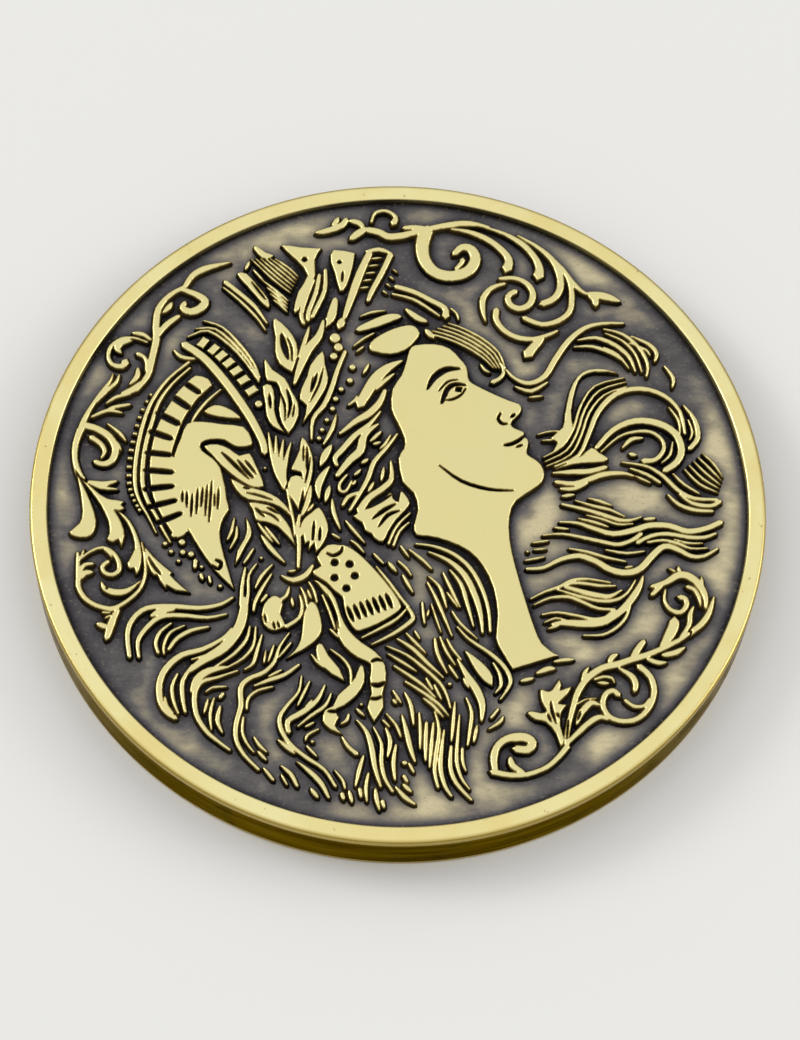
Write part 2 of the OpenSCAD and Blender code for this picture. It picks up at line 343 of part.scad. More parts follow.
// Knot, bow and ribbons.
BOW = [
  [[.12, .4, .2], [[-6.7, -5.7], [-6, -5.95], [-5.3, -5.6], [-4.9, -4.9]]],
  [[.1, .22, .1], [[-6.3, -5.4], [-5.9, -5.3]]],
  [[[-7.15, -7.05], [-6.7, -7.15], [-6.5, -7.6], [-6.6, -8.2], [-6.25, -8.9], [-6.6, -9.2],
    [-7, -9.3], [-7.5, -9], [-7.7, -8.3], [-7.6, -7.6]]],
  [[.12, .25, .3], [[-5.55, -6.9], [-5.35, -7.6], [-5.5, -8.4], [-6.2, -9]]],
  [[.12, .25, .25], [[-6.2, -6.4], [-6.35, -7], [-6.8, -7.4]]],
  [[.12, .22, .08], [[-6, -7.1], [-5.9, -7.65]]],
  [[.1, .2, .12], [[-5.5, -6.4], [-5.2, -7], [-5.05, -7.7]]],
  [[.1, .2, .12], [[-5.05, -6], [-4.7, -6.6], [-4.5, -7.3]]],
  [[.08, .18, .08], [[-5.1, -6.5], [-4.85, -7.1]]],
  [[[-4.9, -7.3], [-4.5, -7.5], [-4.2, -8.3], [-4.1, -9.2], [-4.5, -9.9], [-5.2, -10.5],
    [-6, -11], [-6, -11], [-5.6, -10.5], [-5.3, -9.8], [-5.25, -8.9], [-5.2, -8]]],
  [[[-4.75, -5.85], [-4, -6.25], [-3.4, -7], [-3, -8.1], [-2.5, -9], [-1.7, -9.75], [-.85, -10.3],
    [-.25, -11.1], [-.15, -12.1], [-.3, -13], [-.2, -13.8], [-.7, -14.75], [-.7, -14.75],
    [-1.15, -13.9], [-.95, -13], [-1.1, -12], [-1.1, -11.1], [-1.9, -10.75], [-2.7, -10.1],
    [-3.15, -9.3], [-3.3, -8.2], [-3.8, -7]]],
  [[.1, .2, .12], [[-4.2, -6.8], [-3.7, -7.9], [-3.3, -9]]],
  [[.1, .2, .1], [[-3.6, -9], [-3.1, -9.5]]],
  [[[-4.35, -10.1], [-4, -10], [-3.6, -10.7], [-2.9, -11.5], [-2.6, -12.25], [-2.6, -12.25],
    [-3.4, -11.85], [-4, -11.3], [-4.3, -10.8]]],
  [[.1, .2, .1], [[-4.6, -10.7], [-4.2, -11.2], [-3.8, -11.5]]],
  [[.1, .22, .12], [[-3.5, -10.3], [-2.7, -10.9], [-2.25, -11.6], [-2.2, -12.5]]],
  [[[-1.75, -11.3], [-1.5, -11.3], [-1.4, -12.3], [-1.85, -13.2], [-2.5, -13.85], [-3, -14.15],
    [-2.75, -14.6], [-2.95, -15.1], [-2.55, -15.6], [-2.55, -15.6], [-3.2, -15.4], [-3.7, -14.9],
    [-3.6, -14.2], [-3.15, -13.9], [-2.9, -13.2], [-2.35, -12.6], [-1.95, -12]]],
  [[.15, .24, .12], [[-2.2, -14.35], [-2.3, -14.75], [-2.6, -15]]]];
BOW_BANDS = [
  [[.12, .2, .12], [[-1.05, -10.95], [-.75, -10.8], [-.4, -10.85]]],
  [[.15, .28, .15], [[-.95, -12.4], [-.6, -12.45], [-.2, -12.25]]],
  [[.12, .2, .12], [[-1, -13.3], [-.65, -13.3], [-.35, -13.15]]],
  [[.1, .2, .1], [[-3.4, -14.25], [-2.9, -14.25]]],
  [[.04, .12, .04], [[-3.9, -6.8], [-3.4, -7.9], [-3.1, -8.9]]],
  [[.05, .13, .05], [[-7, -8.75], [-6.85, -9.2]]],
  [[.05, .13, .05], [[-6.75, -8.7], [-6.6, -9.1]]],
  [[.05, .12, .05], [[-7.55, -8.3], [-7.4, -8.8]]]];

// Hair that falls to the left of the knot.
FALLING_LEFT = [
  [[.2, .36, .28], [[-9.5, -7.3], [-10.2, -7.8], [-11.4, -8.1], [-13, -8.1], [-14.5, -8.3],
    [-15.3, -9.1], [-15.5, -10.1], [-15.25, -11.5]]],
  [[.15, .34, .22], [[-9.8, -8.4], [-10.9, -8.7], [-12.5, -8.65], [-13.7, -8.85], [-14.5, -9.7],
    [-14.85, -10.5], [-14.7, -11.5]]],
  [[.2, .45, .2], [[-12.9, -8.3], [-13.6, -8.4], [-14.2, -8.8]]],
  [[.15, .25, .22], [[-13, -9.2], [-13.6, -9.8], [-13.8, -10.5], [-13.6, -11.15]]],
  [[.12, .22, .12], [[-12.2, -9.3], [-13, -9.8], [-13.3, -10.6], [-13.25, -11.2]]],
  [[.18, .3, .2], [[-10.8, -9.3], [-11.8, -9.6], [-12.6, -10.2], [-13, -10.9]]],
  [[.12, .2, .3], [[-8.25, -5], [-8.65, -5.8], [-8.6, -7], [-8.7, -8]]],
  [[.15, .25, .3], [[-8.9, -5.3], [-9, -6.5], [-8.95, -7.8]]],
  [[.45, .66, .3], [[-8.8, -7.4], [-8.8, -8.3], [-9.05, -9.4], [-9.8, -10.6], [-10.9, -11.45],
    [-11.7, -12.2]]],
  [[.15, .42, .32], [[-9.4, -9.3], [-9.9, -10], [-11, -10.75], [-12.2, -11.2], [-13.05, -12.1],
    [-13.35, -13.1], [-13.2, -14.2], [-12.8, -14.85], [-12.25, -15.2]]],
  [[.1, .2, .1], [[-9.6, -10.35], [-10.5, -11], [-11.6, -11.45]]],
  [[.2, .3, .2], [[-11.5, -11.8], [-12, -12.8], [-11.95, -13.8], [-11.7, -14.8]]],
  [[.15, .25, .15], [[-12.35, -12.4], [-12.6, -13.2], [-12.45, -14.1], [-12.1, -14.9]]],
  [[.1, .25, .12], [[-12.95, -13.9], [-12.8, -14.5], [-12.4, -14.9]]],
  [[.15, .5, .2], [[-9.4, -11.8], [-10.5, -12.1], [-11.2, -12.7], [-11.45, -13.5]]],
  [[.12, .34, .2], [[-8.85, -12], [-10, -12.5], [-10.9, -12.85], [-11.25, -13.6], [-11.05, -14.9],
    [-10.4, -15.9], [-9.8, -16.4], [-8.95, -17]]],
  [[.12, .25, .12], [[-8.35, -9.1], [-8.5, -10], [-9.2, -11], [-10.3, -11.9]]],
  [[.12, .22, .12], [[-8, -9.1], [-8.05, -10.3], [-8.6, -11.2], [-9.5, -11.85]]],
  [[.12, .25, .12], [[-7.6, -9.6], [-7.8, -10.6], [-8, -11.5], [-8.45, -11.9]]],
  [[.12, .2, .1], [[-9.45, -13.05], [-10.2, -13.15], [-10.6, -13.45]]],
  [[.25, .25, .25], [[-9.6, -13.5], [-9.75, -13.75]]],
  [[.12, .22, .1], [[-10.45, -13.9], [-10.6, -14.8]]],
  [[.12, .22, .1], [[-10.1, -13.8], [-10.25, -14.8], [-10.1, -15.8]]],
  [[.18, .3, .12], [[-9.7, -14.3], [-9.8, -15.2], [-9.45, -15.95]]],
  [[.12, .34, .22], [[-6, -9.4], [-6.5, -10.3], [-6.75, -11.3], [-7.3, -12], [-8.2, -12.5],
    [-8.6, -13.1], [-8.5, -14.2], [-8.7, -15.4], [-8.6, -16.4], [-8.05, -17.3], [-7.2, -18.1]]],
  [[.2, .3, .12], [[-5.3, -11.4], [-6.1, -12.1], [-7, -12.5], [-7.8, -12.9]]],
  [[.12, .22, .1], [[-6.3, -11.8], [-7, -12.25]]],
  [[.15, .22, .15], [[-6.75, -12.9], [-7.6, -13.2], [-8.1, -13.7], [-8.15, -14.4]]],
  [[.15, .22, .12], [[-8.3, -14.9], [-8.3, -15.8], [-8, -16.5], [-7.55, -17.05]]],
  [[.1, .25, .12], [[-7.6, -16.1], [-7.25, -16.6], [-6.8, -17]]],
  [[.12, .25, .12], [[-7.3, -17], [-6.8, -17.5]]],
  [[.12, .25, .2], [[-6.9, -18], [-6.3, -18.7]]],
  [[.12, .3, .2], [[-5.9, -17.8], [-5.3, -18.3], [-4.9, -19]]],
  [[.1, .2, .12], [[-5.85, -18.35], [-5.5, -18.95]]],
  [[.1, .2, .1], [[-6.85, -10.2], [-7.1, -11.3]]],
  [[.08, .16, .08], [[-7.3, -10.6], [-7.35, -11.4]]],
  [[.12, .2, .1], [[-5.85, -10], [-6.5, -11]]],
  [[.12, .22, .1], [[-9.8, -2.05], [-9.9, -2.9], [-10.1, -3.5]]],
  [[.12, .2, .1], [[-9.6, -2.6], [-9.6, -3.3], [-9.9, -4.1]]],
  [[[-9.1, -1.95], [-8.75, -2.6], [-8.7, -3.2], [-9, -3.9], [-9.3, -4.7], [-9.5, -5.1],
    [-9.5, -5.1], [-9.45, -4.2], [-9.1, -3.4], [-9, -2.7]]],
  [[.12, .22, .12], [[-8.5, -4], [-9, -5]]],
  [[.12, .25, .1], [[-7.3, -5], [-7.9, -5.8], [-8.2, -6.6]]],
  [[.12, .25, .15], [[-7.3, -5.6], [-7.8, -6.6], [-8.15, -7.5], [-8.2, -8.1]]],
  [[.2, .22, .1], [[-7.5, -7], [-7.8, -7.5]]],
  [[.2, .2, .2], [[-8, -4.6]]], [[.16, .16, .16], [[-8.2, 1.45]]]];

// Hair that falls below the bell and the ribbons.
FALLING_CENTRE = [
  [[.12, .3, .22], [[-5.1, -12.1], [-5.2, -13.1], [-5.8, -14], [-6.2, -14.8], [-6, -15.7],
    [-5.4, -16.5], [-4.5, -17.2], [-3.4, -17.9], [-2.7, -18.9]]],
  [[.12, .22, .1], [[-4.6, -12.4], [-4.9, -13.2], [-5.2, -14]]],
  [[.12, .38, .3], [[-3.7, -12.6], [-4.1, -13.6], [-4.9, -14.4], [-5.7, -15], [-5.6, -15.7]]],
  [[.12, .25, .12], [[-3.3, -13.1], [-3.6, -13.9], [-4.4, -14.6], [-5.1, -15.3]]],
  [[.12, .2, .12], [[-4.4, -13.6], [-4.8, -14.2]]],
  [[.12, .2, .12], [[-4.2, -15], [-4.65, -15.3]]],
  [[.12, .22, .1], [[-3.9, -15.4], [-4.5, -15.8], [-4.6, -16.15]]],
  [[.22, .22, .22], [[-4.2, -16.2]]],
  [[.12, .22, .12], [[-4.5, -16.5], [-3.9, -17.1]]],
  [[.1, .3, .12], [[-6.2, -16.2], [-5.7, -16.6], [-5.2, -17]]],
  [[.1, .35, .18], [[-5, -17.5], [-4.2, -18.1], [-3.5, -18.8], [-3.05, -19.6]]],
  [[.15, .3, .2], [[-4.1, -19.1], [-3.7, -19.6]]],
  [[.1, .22, .12], [[-2.8, -17.9], [-2.3, -18.5], [-2.15, -19]]],
  [[.12, .28, .32], [[-2.5, -15.8], [-2.1, -16.4], [-1.6, -16.8]]],
  [[.15, .28, .12], [[-1.2, -16.9], [-1.4, -17.8], [-1.55, -18.8]]],
  [[.25, .25, .2], [[-1.3, -18.95], [-1.2, -19.45]]],
  [[.28, .28, .2], [[-2.3, -19.3], [-2.2, -19.65]]],
  [[.15, .28, .15], [[-1.9, -19.1], [-1.7, -19.8]]],
  [[.15, .25, .12], [[-.85, -17.95], [-.95, -18.8], [-.85, -19.7]]],
  [[.15, .3, .12], [[-.4, -18.9], [-.3, -19.5], [-.1, -20.2]]],
  [[.25, .25, .2], [[.05, -19.6], [.15, -20]]],
  [[.12, .36, .18], [[-1.7, -14.7], [-1.1, -15.4], [-.75, -16.4], [-.5, -17.6], [-.1, -18.75]]],
  [[.12, .28, .2], [[-.7, -15.1], [-.2, -16.1], [-.15, -17.2], [.1, -18.2], [.6, -19]]],
  [[.12, .3, .12], [[0, -15.1], [.3, -15.9], [.2, -16.9]]],
  [[.15, .28, .15], [[.65, -16.1], [.55, -17.2], [.7, -18.3]]],
  [[.12, .2, .12], [[-.2, -14.6], [.2, -15]]],
  [[.12, .22, .15], [[0, -14.2], [.6, -14.9], [.9, -15.6]]],
  [[.12, .34, .15], [[.9, -14.2], [1.2, -15.2], [1.5, -16.3], [1.8, -17.1]]],
  [[.12, .28, .12], [[1, -12.8], [1.4, -13.6], [1.6, -14.8]]],
  [[.12, .22, .12], [[1.9, -14], [2, -15], [2.05, -16.3]]],
  [[.2, .28, .12], [[2.35, -14.6], [2.35, -15.8], [2.4, -17]]],
  [[.15, .25, .12], [[2.75, -14.6], [2.7, -16], [2.65, -17.4]]],
  [[.12, .28, .2], [[2.8, -13.9], [3.1, -15], [3, -16.5], [2.95, -17.6], [3.2, -18.6]]],
  [[.12, .3, .2], [[3.4, -15], [3.3, -16.3], [3.3, -17.5], [3.6, -18.5], [4, -19.1]]],
  [[.12, .25, .12], [[3.95, -13.2], [3.9, -14.6], [3.85, -15.7]]],
  [[.2, .3, .2], [[3.85, -16], [3.85, -17.3], [4.25, -18.3], [5.15, -19.25]]],
  [[.12, .26, .14], [[4.25, -14], [4.2, -15.5], [4.2, -16.9], [4.5, -17.9], [5, -18.6]]],
  [[.12, .26, .14], [[4.6, -12.9], [4.95, -13.8], [4.9, -14.9], [4.8, -15.9]]],
  [[.12, .26, .14], [[5.3, -14.6], [5.15, -15.65]]],
  [[.2, .22, .12], [[4.5, -16.1], [4.55, -16.9], [4.75, -17.5]]],
  [[.32, .32, .32], [[1.2, -17.2]]],
  [[.12, .25, .15], [[1.45, -17.2], [1.75, -17.75]]],
  [[.25, .25, .2], [[1.2, -18], [1.4, -18.35]]],
  [[.2, .3, .2], [[1.2, -18.55], [1.65, -18.95]]],
  [[.12, .32, .18], [[.75, -18.7], [1.3, -19.3], [1.9, -19.7]]],
  [[.12, .22, .12], [[.3, -12.7], [.8, -13.45]]],
  [[.18, .22, .18], [[.35, -13.3], [.5, -13.5]]],
  [[.12, .24, .12], [[-1.75, -14], [-1.3, -14.4]]], [[.2, .2, .2], [[-1.5, -13.7]]],
  [[.15, .3, .1], [[.4, -9.4], [1.3, -9.95], [2.2, -10.8], [3.2, -11.7]]],
  [[.12, .25, .14], [[-.2, -9.9], [1, -10.4], [2, -11.15], [3, -12.05], [3.45, -12.8], [3.7, -13.6]]],
  [[.12, .22, .1], [[-.1, -10.4], [.8, -10.9], [1.6, -11.4]]],
  [[.15, .25, .1], [[.3, -11.15], [1.2, -11.7], [2, -12.25], [2.8, -13]]],
  [[.15, .25, .12], [[1, -12.1], [2, -12.7], [3, -13.4], [3.6, -14.1]]],
  [[.12, .25, .12], [[2.1, -13.1], [2.7, -13.55], [3.3, -14.2]]],
  [[.12, .22, .12], [[2.2, -11.8], [2.6, -12.5]]],
  [[.12, .22, .12], [[2.7, -12.2], [3.15, -13.1]]],
  [[.12, .24, .1], [[.9, -9], [1.5, -9.6], [2.1, -10.2]]],
  [[.1, .2, .1], [[1.4, -8.8], [1.7, -9.3]]],
  [[.15, .2, .12], [[1.75, -6.9], [1.85, -7.7], [1.95, -8.3]]],
  [[.12, .16, .1], [[2.15, -7.4], [2.1, -7.8]]],
  [[.15, .26, .12], [[2.6, -9.2], [2.8, -10.2], [3.4, -11.4]]],
  [[.12, .22, .1], [[2.9, -9.1], [3.3, -10], [3.85, -10.85]]],
  [[.12, .22, .12], [[3.3, -9.2], [3.7, -9.9], [4.2, -10.5]]],
  [[.12, .22, .12], [[3.5, -10.9], [4.05, -11.7]]], [[.24, .24, .24], [[3.6, -12.1]]],
  [[.12, .52, .18], [[4, -10.5], [4.6, -11.5], [5.2, -12.4], [5.55, -13.3], [5.55, -14.3]]],
  [[.15, .25, .12], [[4.4, -11.7], [4.7, -12.25]]],
  [[[4.4, -9.9], [5, -10.25], [5.7, -10.85], [6.1, -11.45], [6.1, -12.1], [6.1, -12.1],
    [5.6, -11.8], [5.1, -11.2], [4.7, -10.5]]],
  [[.12, .3, .14], [[3.9, -8.4], [4.6, -9.15], [5.9, -10], [6.75, -10.8], [7.15, -11.6],
    [7, -12.2], [6.6, -12.9]]],
  [[.12, .25, .12], [[6.1, -10.6], [6.5, -11.3], [6.6, -12], [6.3, -12.5]]],
  [[.12, .22, .1], [[3.55, -7.4], [4.1, -8.2], [5.1, -9.1]]],
  [[.18, .22, .18], [[6.1, -14.1], [6.5, -13.5]]],
  [[.12, .26, .12], [[6, -14.8], [6.6, -14.35], [6.8, -13.95]]]];

// Locks of the nape, behind the neck and beside the bell.
NAPE_HAIR = [
  [[.12, .3, .18], [[1.2, -3.1], [2.3, -3.2], [3.5, -3.65], [4.5, -4.5], [5.25, -5.8], [5.7, -7.2],
    [5.85, -8.6]]],
  [[.12, .42, .15], [[2, -3.6], [3.2, -4.1], [4.2, -5], [4.9, -6.4], [5.25, -7.6], [5.4, -8.7]]],
  [[.12, .3, .12], [[3.3, -4.7], [4, -5.6], [4.4, -6.8], [4.85, -8.3]]],
  [[.12, .24, .1], [[2.9, -4.9], [3.35, -5.8], [4, -7.1]]],
  [[.12, .25, .1], [[2.05, -5.2], [2.7, -5.8], [3, -6.5], [3.2, -7.2]]],
  [[.12, .25, .12], [[2, -5.6], [2.5, -6.5], [3, -7.6], [3.6, -9]]],
  [[.08, .16, .08], [[2.3, -7], [2.65, -8], [2.95, -8.8]]],
  [[.12, .24, .14], [[.8, -3.5], [1.6, -4.1], [2.2, -4.7]]],
  [[.15, .2, .1], [[.3, -3.3], [.8, -4]]],
  [[.12, .22, .12], [[.2, -4.3], [.7, -4.75], [1, -5.2]]],
  [[.12, .32, .12], [[-.4, -4.4], [.1, -5]]],
  [[.12, .26, .12], [[.5, -5.2], [.8, -5.7], [1.15, -6.3]]],
  [[.15, .22, .12], [[-1.3, -3.9], [-.7, -4.5]]],
  [[.1, .2, .1], [[3.2, -6.2], [3.85, -7.1]]]];
// Wind blown hair above the mouth: S shaped tress, fine cluster, great loop and spiral.
WIND_UPPER = [
  [[.18, .42, .18], [[6.2, 9.2], [6.8, 8.6], [7.7, 8.35], [8.6, 8.9], [9.2, 10.1], [10, 11.5],
    [11, 12.5], [12.1, 12.9], [13.4, 13]]],
  [[.12, .3, .12], [[6.8, 8.05], [7.8, 7.8], [8.8, 8.5]]],
  [[.1, .2, .1], [[7.7, 7.35], [8.5, 7.5]]],
  [[.12, .34, .15], [[10.6, 11.6], [11.7, 11.85], [12.9, 11.4], [13.8, 10.6], [14.2, 9.6]]],
  [[.12, .28, .12], [[10.4, 11.1], [11.5, 11.2], [12.7, 10.8], [13.4, 10.3]]],
  [[.1, .22, .1], [[12.2, 11.2], [13.1, 10.7], [13.8, 9.8]]],
  [[.12, .28, .15], [[12.2, 12.5], [13.4, 12.2], [14.4, 11.3], [14.95, 10.2], [14.9, 9.3]]],
  [[.1, .22, .12], [[12.3, 12.2], [13.4, 11.7], [14.2, 10.8], [14.6, 9.6]]],
  [[.12, .32, .18], [[13.9, 12.1], [15, 11.6], [15.5, 11], [15.4, 10.4]]],
  [[.1, .2, .1], [[13.8, 11.6], [14.8, 11.2], [15.1, 10.8]]],
  [[.1, .28, .1], [[16, 10.1], [16.55, 9.3], [16.5, 8.6]]],
  [[[9.2, 3.6], [9.8, 4], [10.3, 4.8], [10.4, 5.6], [10.3, 6.6], [10.55, 8.2], [10.9, 9],
    [11.7, 9.4], [13.1, 9.4], [13.1, 9.4], [12.3, 9.65], [11.3, 9.55], [10.6, 9], [10.15, 7.9],
    [9.9, 6.3], [9.8, 5.4], [9.1, 4.6], [9.5, 4.3]]],
  [[.1, .14, .1], [[8.3, 4.8], [9, 5.05], [9.7, 5.1]]],
  [[.1, .14, .1], [[8.6, 4.4], [9.3, 4.5]]],
  [[.1, .19, .1], [[8.7, 3.25], [9.8, 4.05], [10.45, 5.3], [10.85, 6.9], [11.7, 8.4], [13.5, 9.1]],
    [[8.9, 2.65], [10.3, 3.5], [10.95, 4.9], [11.4, 6.5], [12.3, 7.8], [13.7, 8.5]], 3],
  [[.15, .38, .2], [[9.4, 2.65], [10.8, 3.5], [11.4, 5], [11.95, 6.6], [13, 7.9], [14.5, 8.4],
    [16, 8], [17, 6.9], [17.3, 5.4]]],
  [[.12, .36, .32], [[17.2, 7.4], [17.9, 6.4], [18.1, 5.2], [17.6, 4.4]]],
  [[.1, .2, .1], [[16.3, 7.2], [16.9, 6.3], [17, 5.3]]],
  [[.1, .18, .1], [[17.5, 6.4], [17.75, 5.6], [17.6, 5]]],
  [[.3, .5, .4], [[11.9, 4.1], [12.9, 5.4], [14.2, 6.1], [15.6, 6.05], [16.7, 5.4], [17.1, 4.3],
    [16.8, 3.4], [16.1, 2.8]]],
  [[.12, .26, .4], [[12.2, 3.85], [13.2, 4.9], [14.2, 5.35], [15.2, 5.4], [15.9, 4.9], [16, 4.2],
    [15.5, 3.5], [14.8, 3.4]]],
  [[.15, .32, .15], [[13.5, 4.2], [14, 4.8], [14.7, 4.95]]],
  [[.3, .3, .2], [[14, 3.8], [14.3, 3.75]]],
  [[.1, .2, .1], [[16.55, 4.8], [16.4, 3.9], [15.9, 3.3]]],
  [[[9.5, 2.5], [10.5, 2.85], [11.3, 3], [12.4, 3.15], [12.6, 3.45], [12.1, 3.75], [11.6, 4.1],
    [11, 3.5], [10.2, 2.95]]],
  [[.12, .4, .3], [[9.3, 2.2], [10.5, 2.35], [11.5, 2.45], [12.5, 2.8]]],
  [[.3, .4, .14], [[9.5, 1.6], [10.6, 1.55], [11.6, 1.95], [12.4, 2.3], [13.5, 2.45], [14.2, 2.3]]],
  [[.2, .3, .1], [[9.8, 1.15], [10.6, 1.2], [11.4, 1.6]]],
  [[.12, .3, .25], [[13.5, 3.2], [15, 3], [16, 2.4], [16.9, 1.5], [17.9, 1], [19.3, 1]]],
  [[.12, .26, .22], [[14, 2.8], [15, 2.45], [15.8, 1.95]]],
  [[.1, .2, .12], [[14.3, 2.3], [15.2, 1.9]]],
  [[.12, .22, .1], [[16.6, 2.6], [17.3, 1.9], [18.2, 1.35]]],
  [[.1, .2, .06], [[18.4, 4.1], [19.1, 3.4], [19.6, 2.6]],
    [[17.3, 2.95], [18.2, 2], [19.3, 1.5]], 5],
  [[.12, .3, .3], [[17, 1.2], [17.8, .65], [18.9, .55], [19.45, .9]]],
  [[.15, .3, .22], [[16.3, 1.15], [17, .5], [18, .2], [19, .2]]]];

// Wind blown hair below the mouth: the long waves and the fan beside the neck.
WIND_LOWER = [
  [[.15, .28, .12], [[9.9, .65], [10.6, .8]]],
  [[.12, .25, .12], [[10.7, .4], [11.8, .1], [12.8, -.1], [13.7, -.5]]],
  [[.2, .3, .12], [[9.9, .1], [11, -.1], [12.2, -.4], [13.4, -.75], [14.1, -.7], [14.7, -.45]]],
  [[.1, .25, .1], [[11.5, .6], [12.2, .45], [12.9, .2]]],
  [[.1, .2, .1], [[11.4, -.55], [12.3, -.75], [13.3, -1.05], [14.2, -.95]]],
  [[.1, .24, .1], [[10.9, -.8], [11.9, -1], [12.7, -1.25]]],
  [[.15, .42, .38], [[9.8, -1.1], [10.8, -1.1], [11.8, -1.4], [13, -1.7], [14.2, -1.4],
    [15.2, -1], [16.4, -.95], [17.5, -1.25], [18.6, -1], [19.5, -.5]]],
  [[.2, .28, .2], [[14.9, -.6], [15.5, -.5]]],
  [[.15, .22, .12], [[9.5, -1.5], [10.3, -1.55]]],
  [[.12, .3, .3], [[8.8, -2.05], [10, -1.9], [11.4, -2.1], [12.5, -2.3], [13.3, -2.4],
    [14.1, -2.1], [14.7, -1.6]]],
  [[.28, .3, .22], [[14.5, -2.2], [15.3, -1.7], [16.3, -1.5], [17.5, -1.65], [18.5, -1.6],
    [19.2, -1.3]]],
  [[.18, .24, .1], [[15.1, -2.15], [16, -1.95], [16.9, -2.1], [17.7, -2.4], [18.7, -2.3]]],
  [[.1, .18, .1], [[16.7, -1.85], [17.6, -2.05], [18.4, -2]]],
  [[.22, .46, .2], [[7.9, -4.35], [8.9, -4.2], [9.9, -3.6], [11, -3.3], [12, -3.6], [12.9, -4.1],
    [13.9, -4.25], [14.7, -3.9], [15.4, -3], [16.1, -2.35], [16.9, -2.5], [17.7, -2.9],
    [18.5, -2.85], [19.3, -2.3]]],
  [[.12, .24, .12], [[10.4, -2.85], [11.5, -3], [12.6, -3.3], [13.8, -3.5]]],
  [[.12, .22, .12], [[12.6, -2.8], [13.8, -2.95], [14.9, -2.75]]],
  [[.12, .18, .12], [[13.8, -3.9], [14.2, -3.8]]],
  [[.12, .2, .12], [[8.2, -2.6], [9.1, -2.4]]],
  [[.1, .16, .1], [[8.3, -3.05], [9, -2.95]]], [[.2, .2, .2], [[7.9, -3.2]]],
  [[.14, .2, .12], [[7.8, -3.8], [8.9, -3.5]]],
  [[.12, .26, .12], [[8.2, -6.3], [9, -5.8], [9.9, -5.4], [10.6, -4.95], [11.5, -4.8],
    [12.9, -4.95]]],
  [[.18, .25, .12], [[10, -5.3], [11, -5.1], [12.3, -5.2], [13.2, -5.15]]],
  [[.25, .38, .12], [[10.2, -5.4], [11.2, -5.65], [12.2, -5.85], [12.9, -5.85], [13.6, -5.4]]],
  [[.12, .26, .2], [[8.4, -6.7], [9.3, -6.2], [10.4, -6.05], [11.3, -6.35], [12.2, -6.7],
    [13.2, -6.7]]],
  [[.12, .26, .12], [[9.7, -5.6], [11, -5.95], [12.2, -6.2], [13.2, -6.1], [13.9, -5.6],
    [14.4, -4.7]]],
  [[.5, .46, .12], [[12.6, -7.55], [13.5, -6.85], [14.2, -5.95], [14.65, -5.1], [14.85, -4.4]]],
  [[.2, .5, .6], [[9.5, -7.9], [10.3, -7.75], [11.3, -7.75], [12.4, -7.6], [13.2, -7]]],
  [[.12, .22, .2], [[8.9, -7.3], [9.8, -7.1], [11, -7.25], [12, -7.4], [12.8, -7.2]]],
  [[.1, .18, .12], [[9.05, -7.8], [9.7, -7.5], [10.4, -7.6]]],
  [[.12, .22, .15], [[9.3, -8.2], [9.9, -7.95]]],
  [[.12, .24, .18], [[11.4, -8.5], [12.5, -8.4], [13.3, -7.9], [13.85, -7.2], [14.1, -6.4]]]];

// Scrollwork at the top, right of the crown.
SCROLL_TOP = [
  [[.3, .5, .4], [[-6.1, 18.4], [-5.4, 18.6], [-4.6, 19], [-4.3, 19.5]]],
  [[.3, .4, .2], [[-5.1, 19], [-4.8, 19.6]]],
  [[.4, .55, .35], [[-3.9, 18.1], [-3.5, 18.5], [-3, 18.9]]],
  [[.35, .45, .3], [[-4, 19.4], [-3.5, 19.3], [-3.2, 19]]],
  [[.5, .55, .4], [[-2.9, 18.8], [-2.2, 18.7], [-1.6, 18.4], [-.8, 18.5], [-.2, 18.7], [.6, 19]]],
  [[.2, .3, .5], [[-2.7, 19.4], [-2.5, 20.1], [-1.8, 20.3], [-1.2, 19.9], [-1.3, 19.4]]],
  [[.35, .4, .5], [[-.6, 19.1], [.1, 19.2], [.8, 19.1]]],
  [[.95, .8, .42], [[.8, 19], [.6, 17.9], [.8, 16.8], [1.5, 15.95], [2.6, 15.75], [3.6, 16.2],
    [4, 17.1], [3.7, 17.8], [3.1, 17.9], [2.65, 17.4]]],
  [[.3, .35, .4], [[2.8, 16.3], [3.1, 16.7], [3.2, 17]]],
  [[.4, .5, .2], [[.8, 19.1], [2.2, 19.5], [3.5, 19.7], [4.8, 19.5]]],
  [[.15, .48, .7], [[2.4, 19.2], [3.4, 19.1], [4.5, 18.7], [5.5, 18], [6.1, 17.2], [6, 16.5]]],
  [[.15, .46, .75], [[4.4, 19.5], [5.7, 19.1], [6.9, 18.4], [7.7, 17.5], [8.05, 16.7], [8, 16.1]]],
  [[.15, .5, .5], [[6.6, 19], [7.8, 18.3], [8.8, 17.4], [9.3, 16.4], [9.4, 15.3], [9, 14.5],
    [8.3, 14.1]]],
  [[.12, .42, .4], [[8.4, 17.9], [9.4, 16.9], [10, 15.7], [10.15, 14.6], [10, 13.6], [9.3, 12.9],
    [8.3, 12.6], [7.2, 13]]],
  [[.15, .36, .2], [[9.5, 16.9], [10.1, 15.9], [10.7, 15.2], [11.3, 14.9]]],
  [[.3, .6, .25], [[11.1, 15], [11.8, 14.95], [12.5, 14.8], [13.1, 14.6]]],
  [[.45, .5, .35], [[11.3, 14.9], [11.6, 14.6], [11.65, 14.2]]],
  [[.3, .48, .42], [[5.6, 15.75], [6.5, 15.85], [7.3, 15.5], [7.7, 14.8], [7.5, 14], [6.9, 13.65],
    [6.3, 13.9], [6.15, 14.5], [6.6, 14.9]]],
  [[.25, .45, .15], [[5.9, 15.4], [5.1, 15.05], [4.6, 14.3], [4.6, 13.4], [4.8, 12.6]]],
  [[.45, .42, .2], [[5.45, 13.5], [5.45, 12.8], [5.9, 12.1], [6.7, 11.6], [7.8, 11.5],
    [8.8, 11.9], [9.3, 12.2]]],
  [[.75, .6, .3], [[7.5, 10.4], [7.9, 11], [8.4, 11.6]]]];

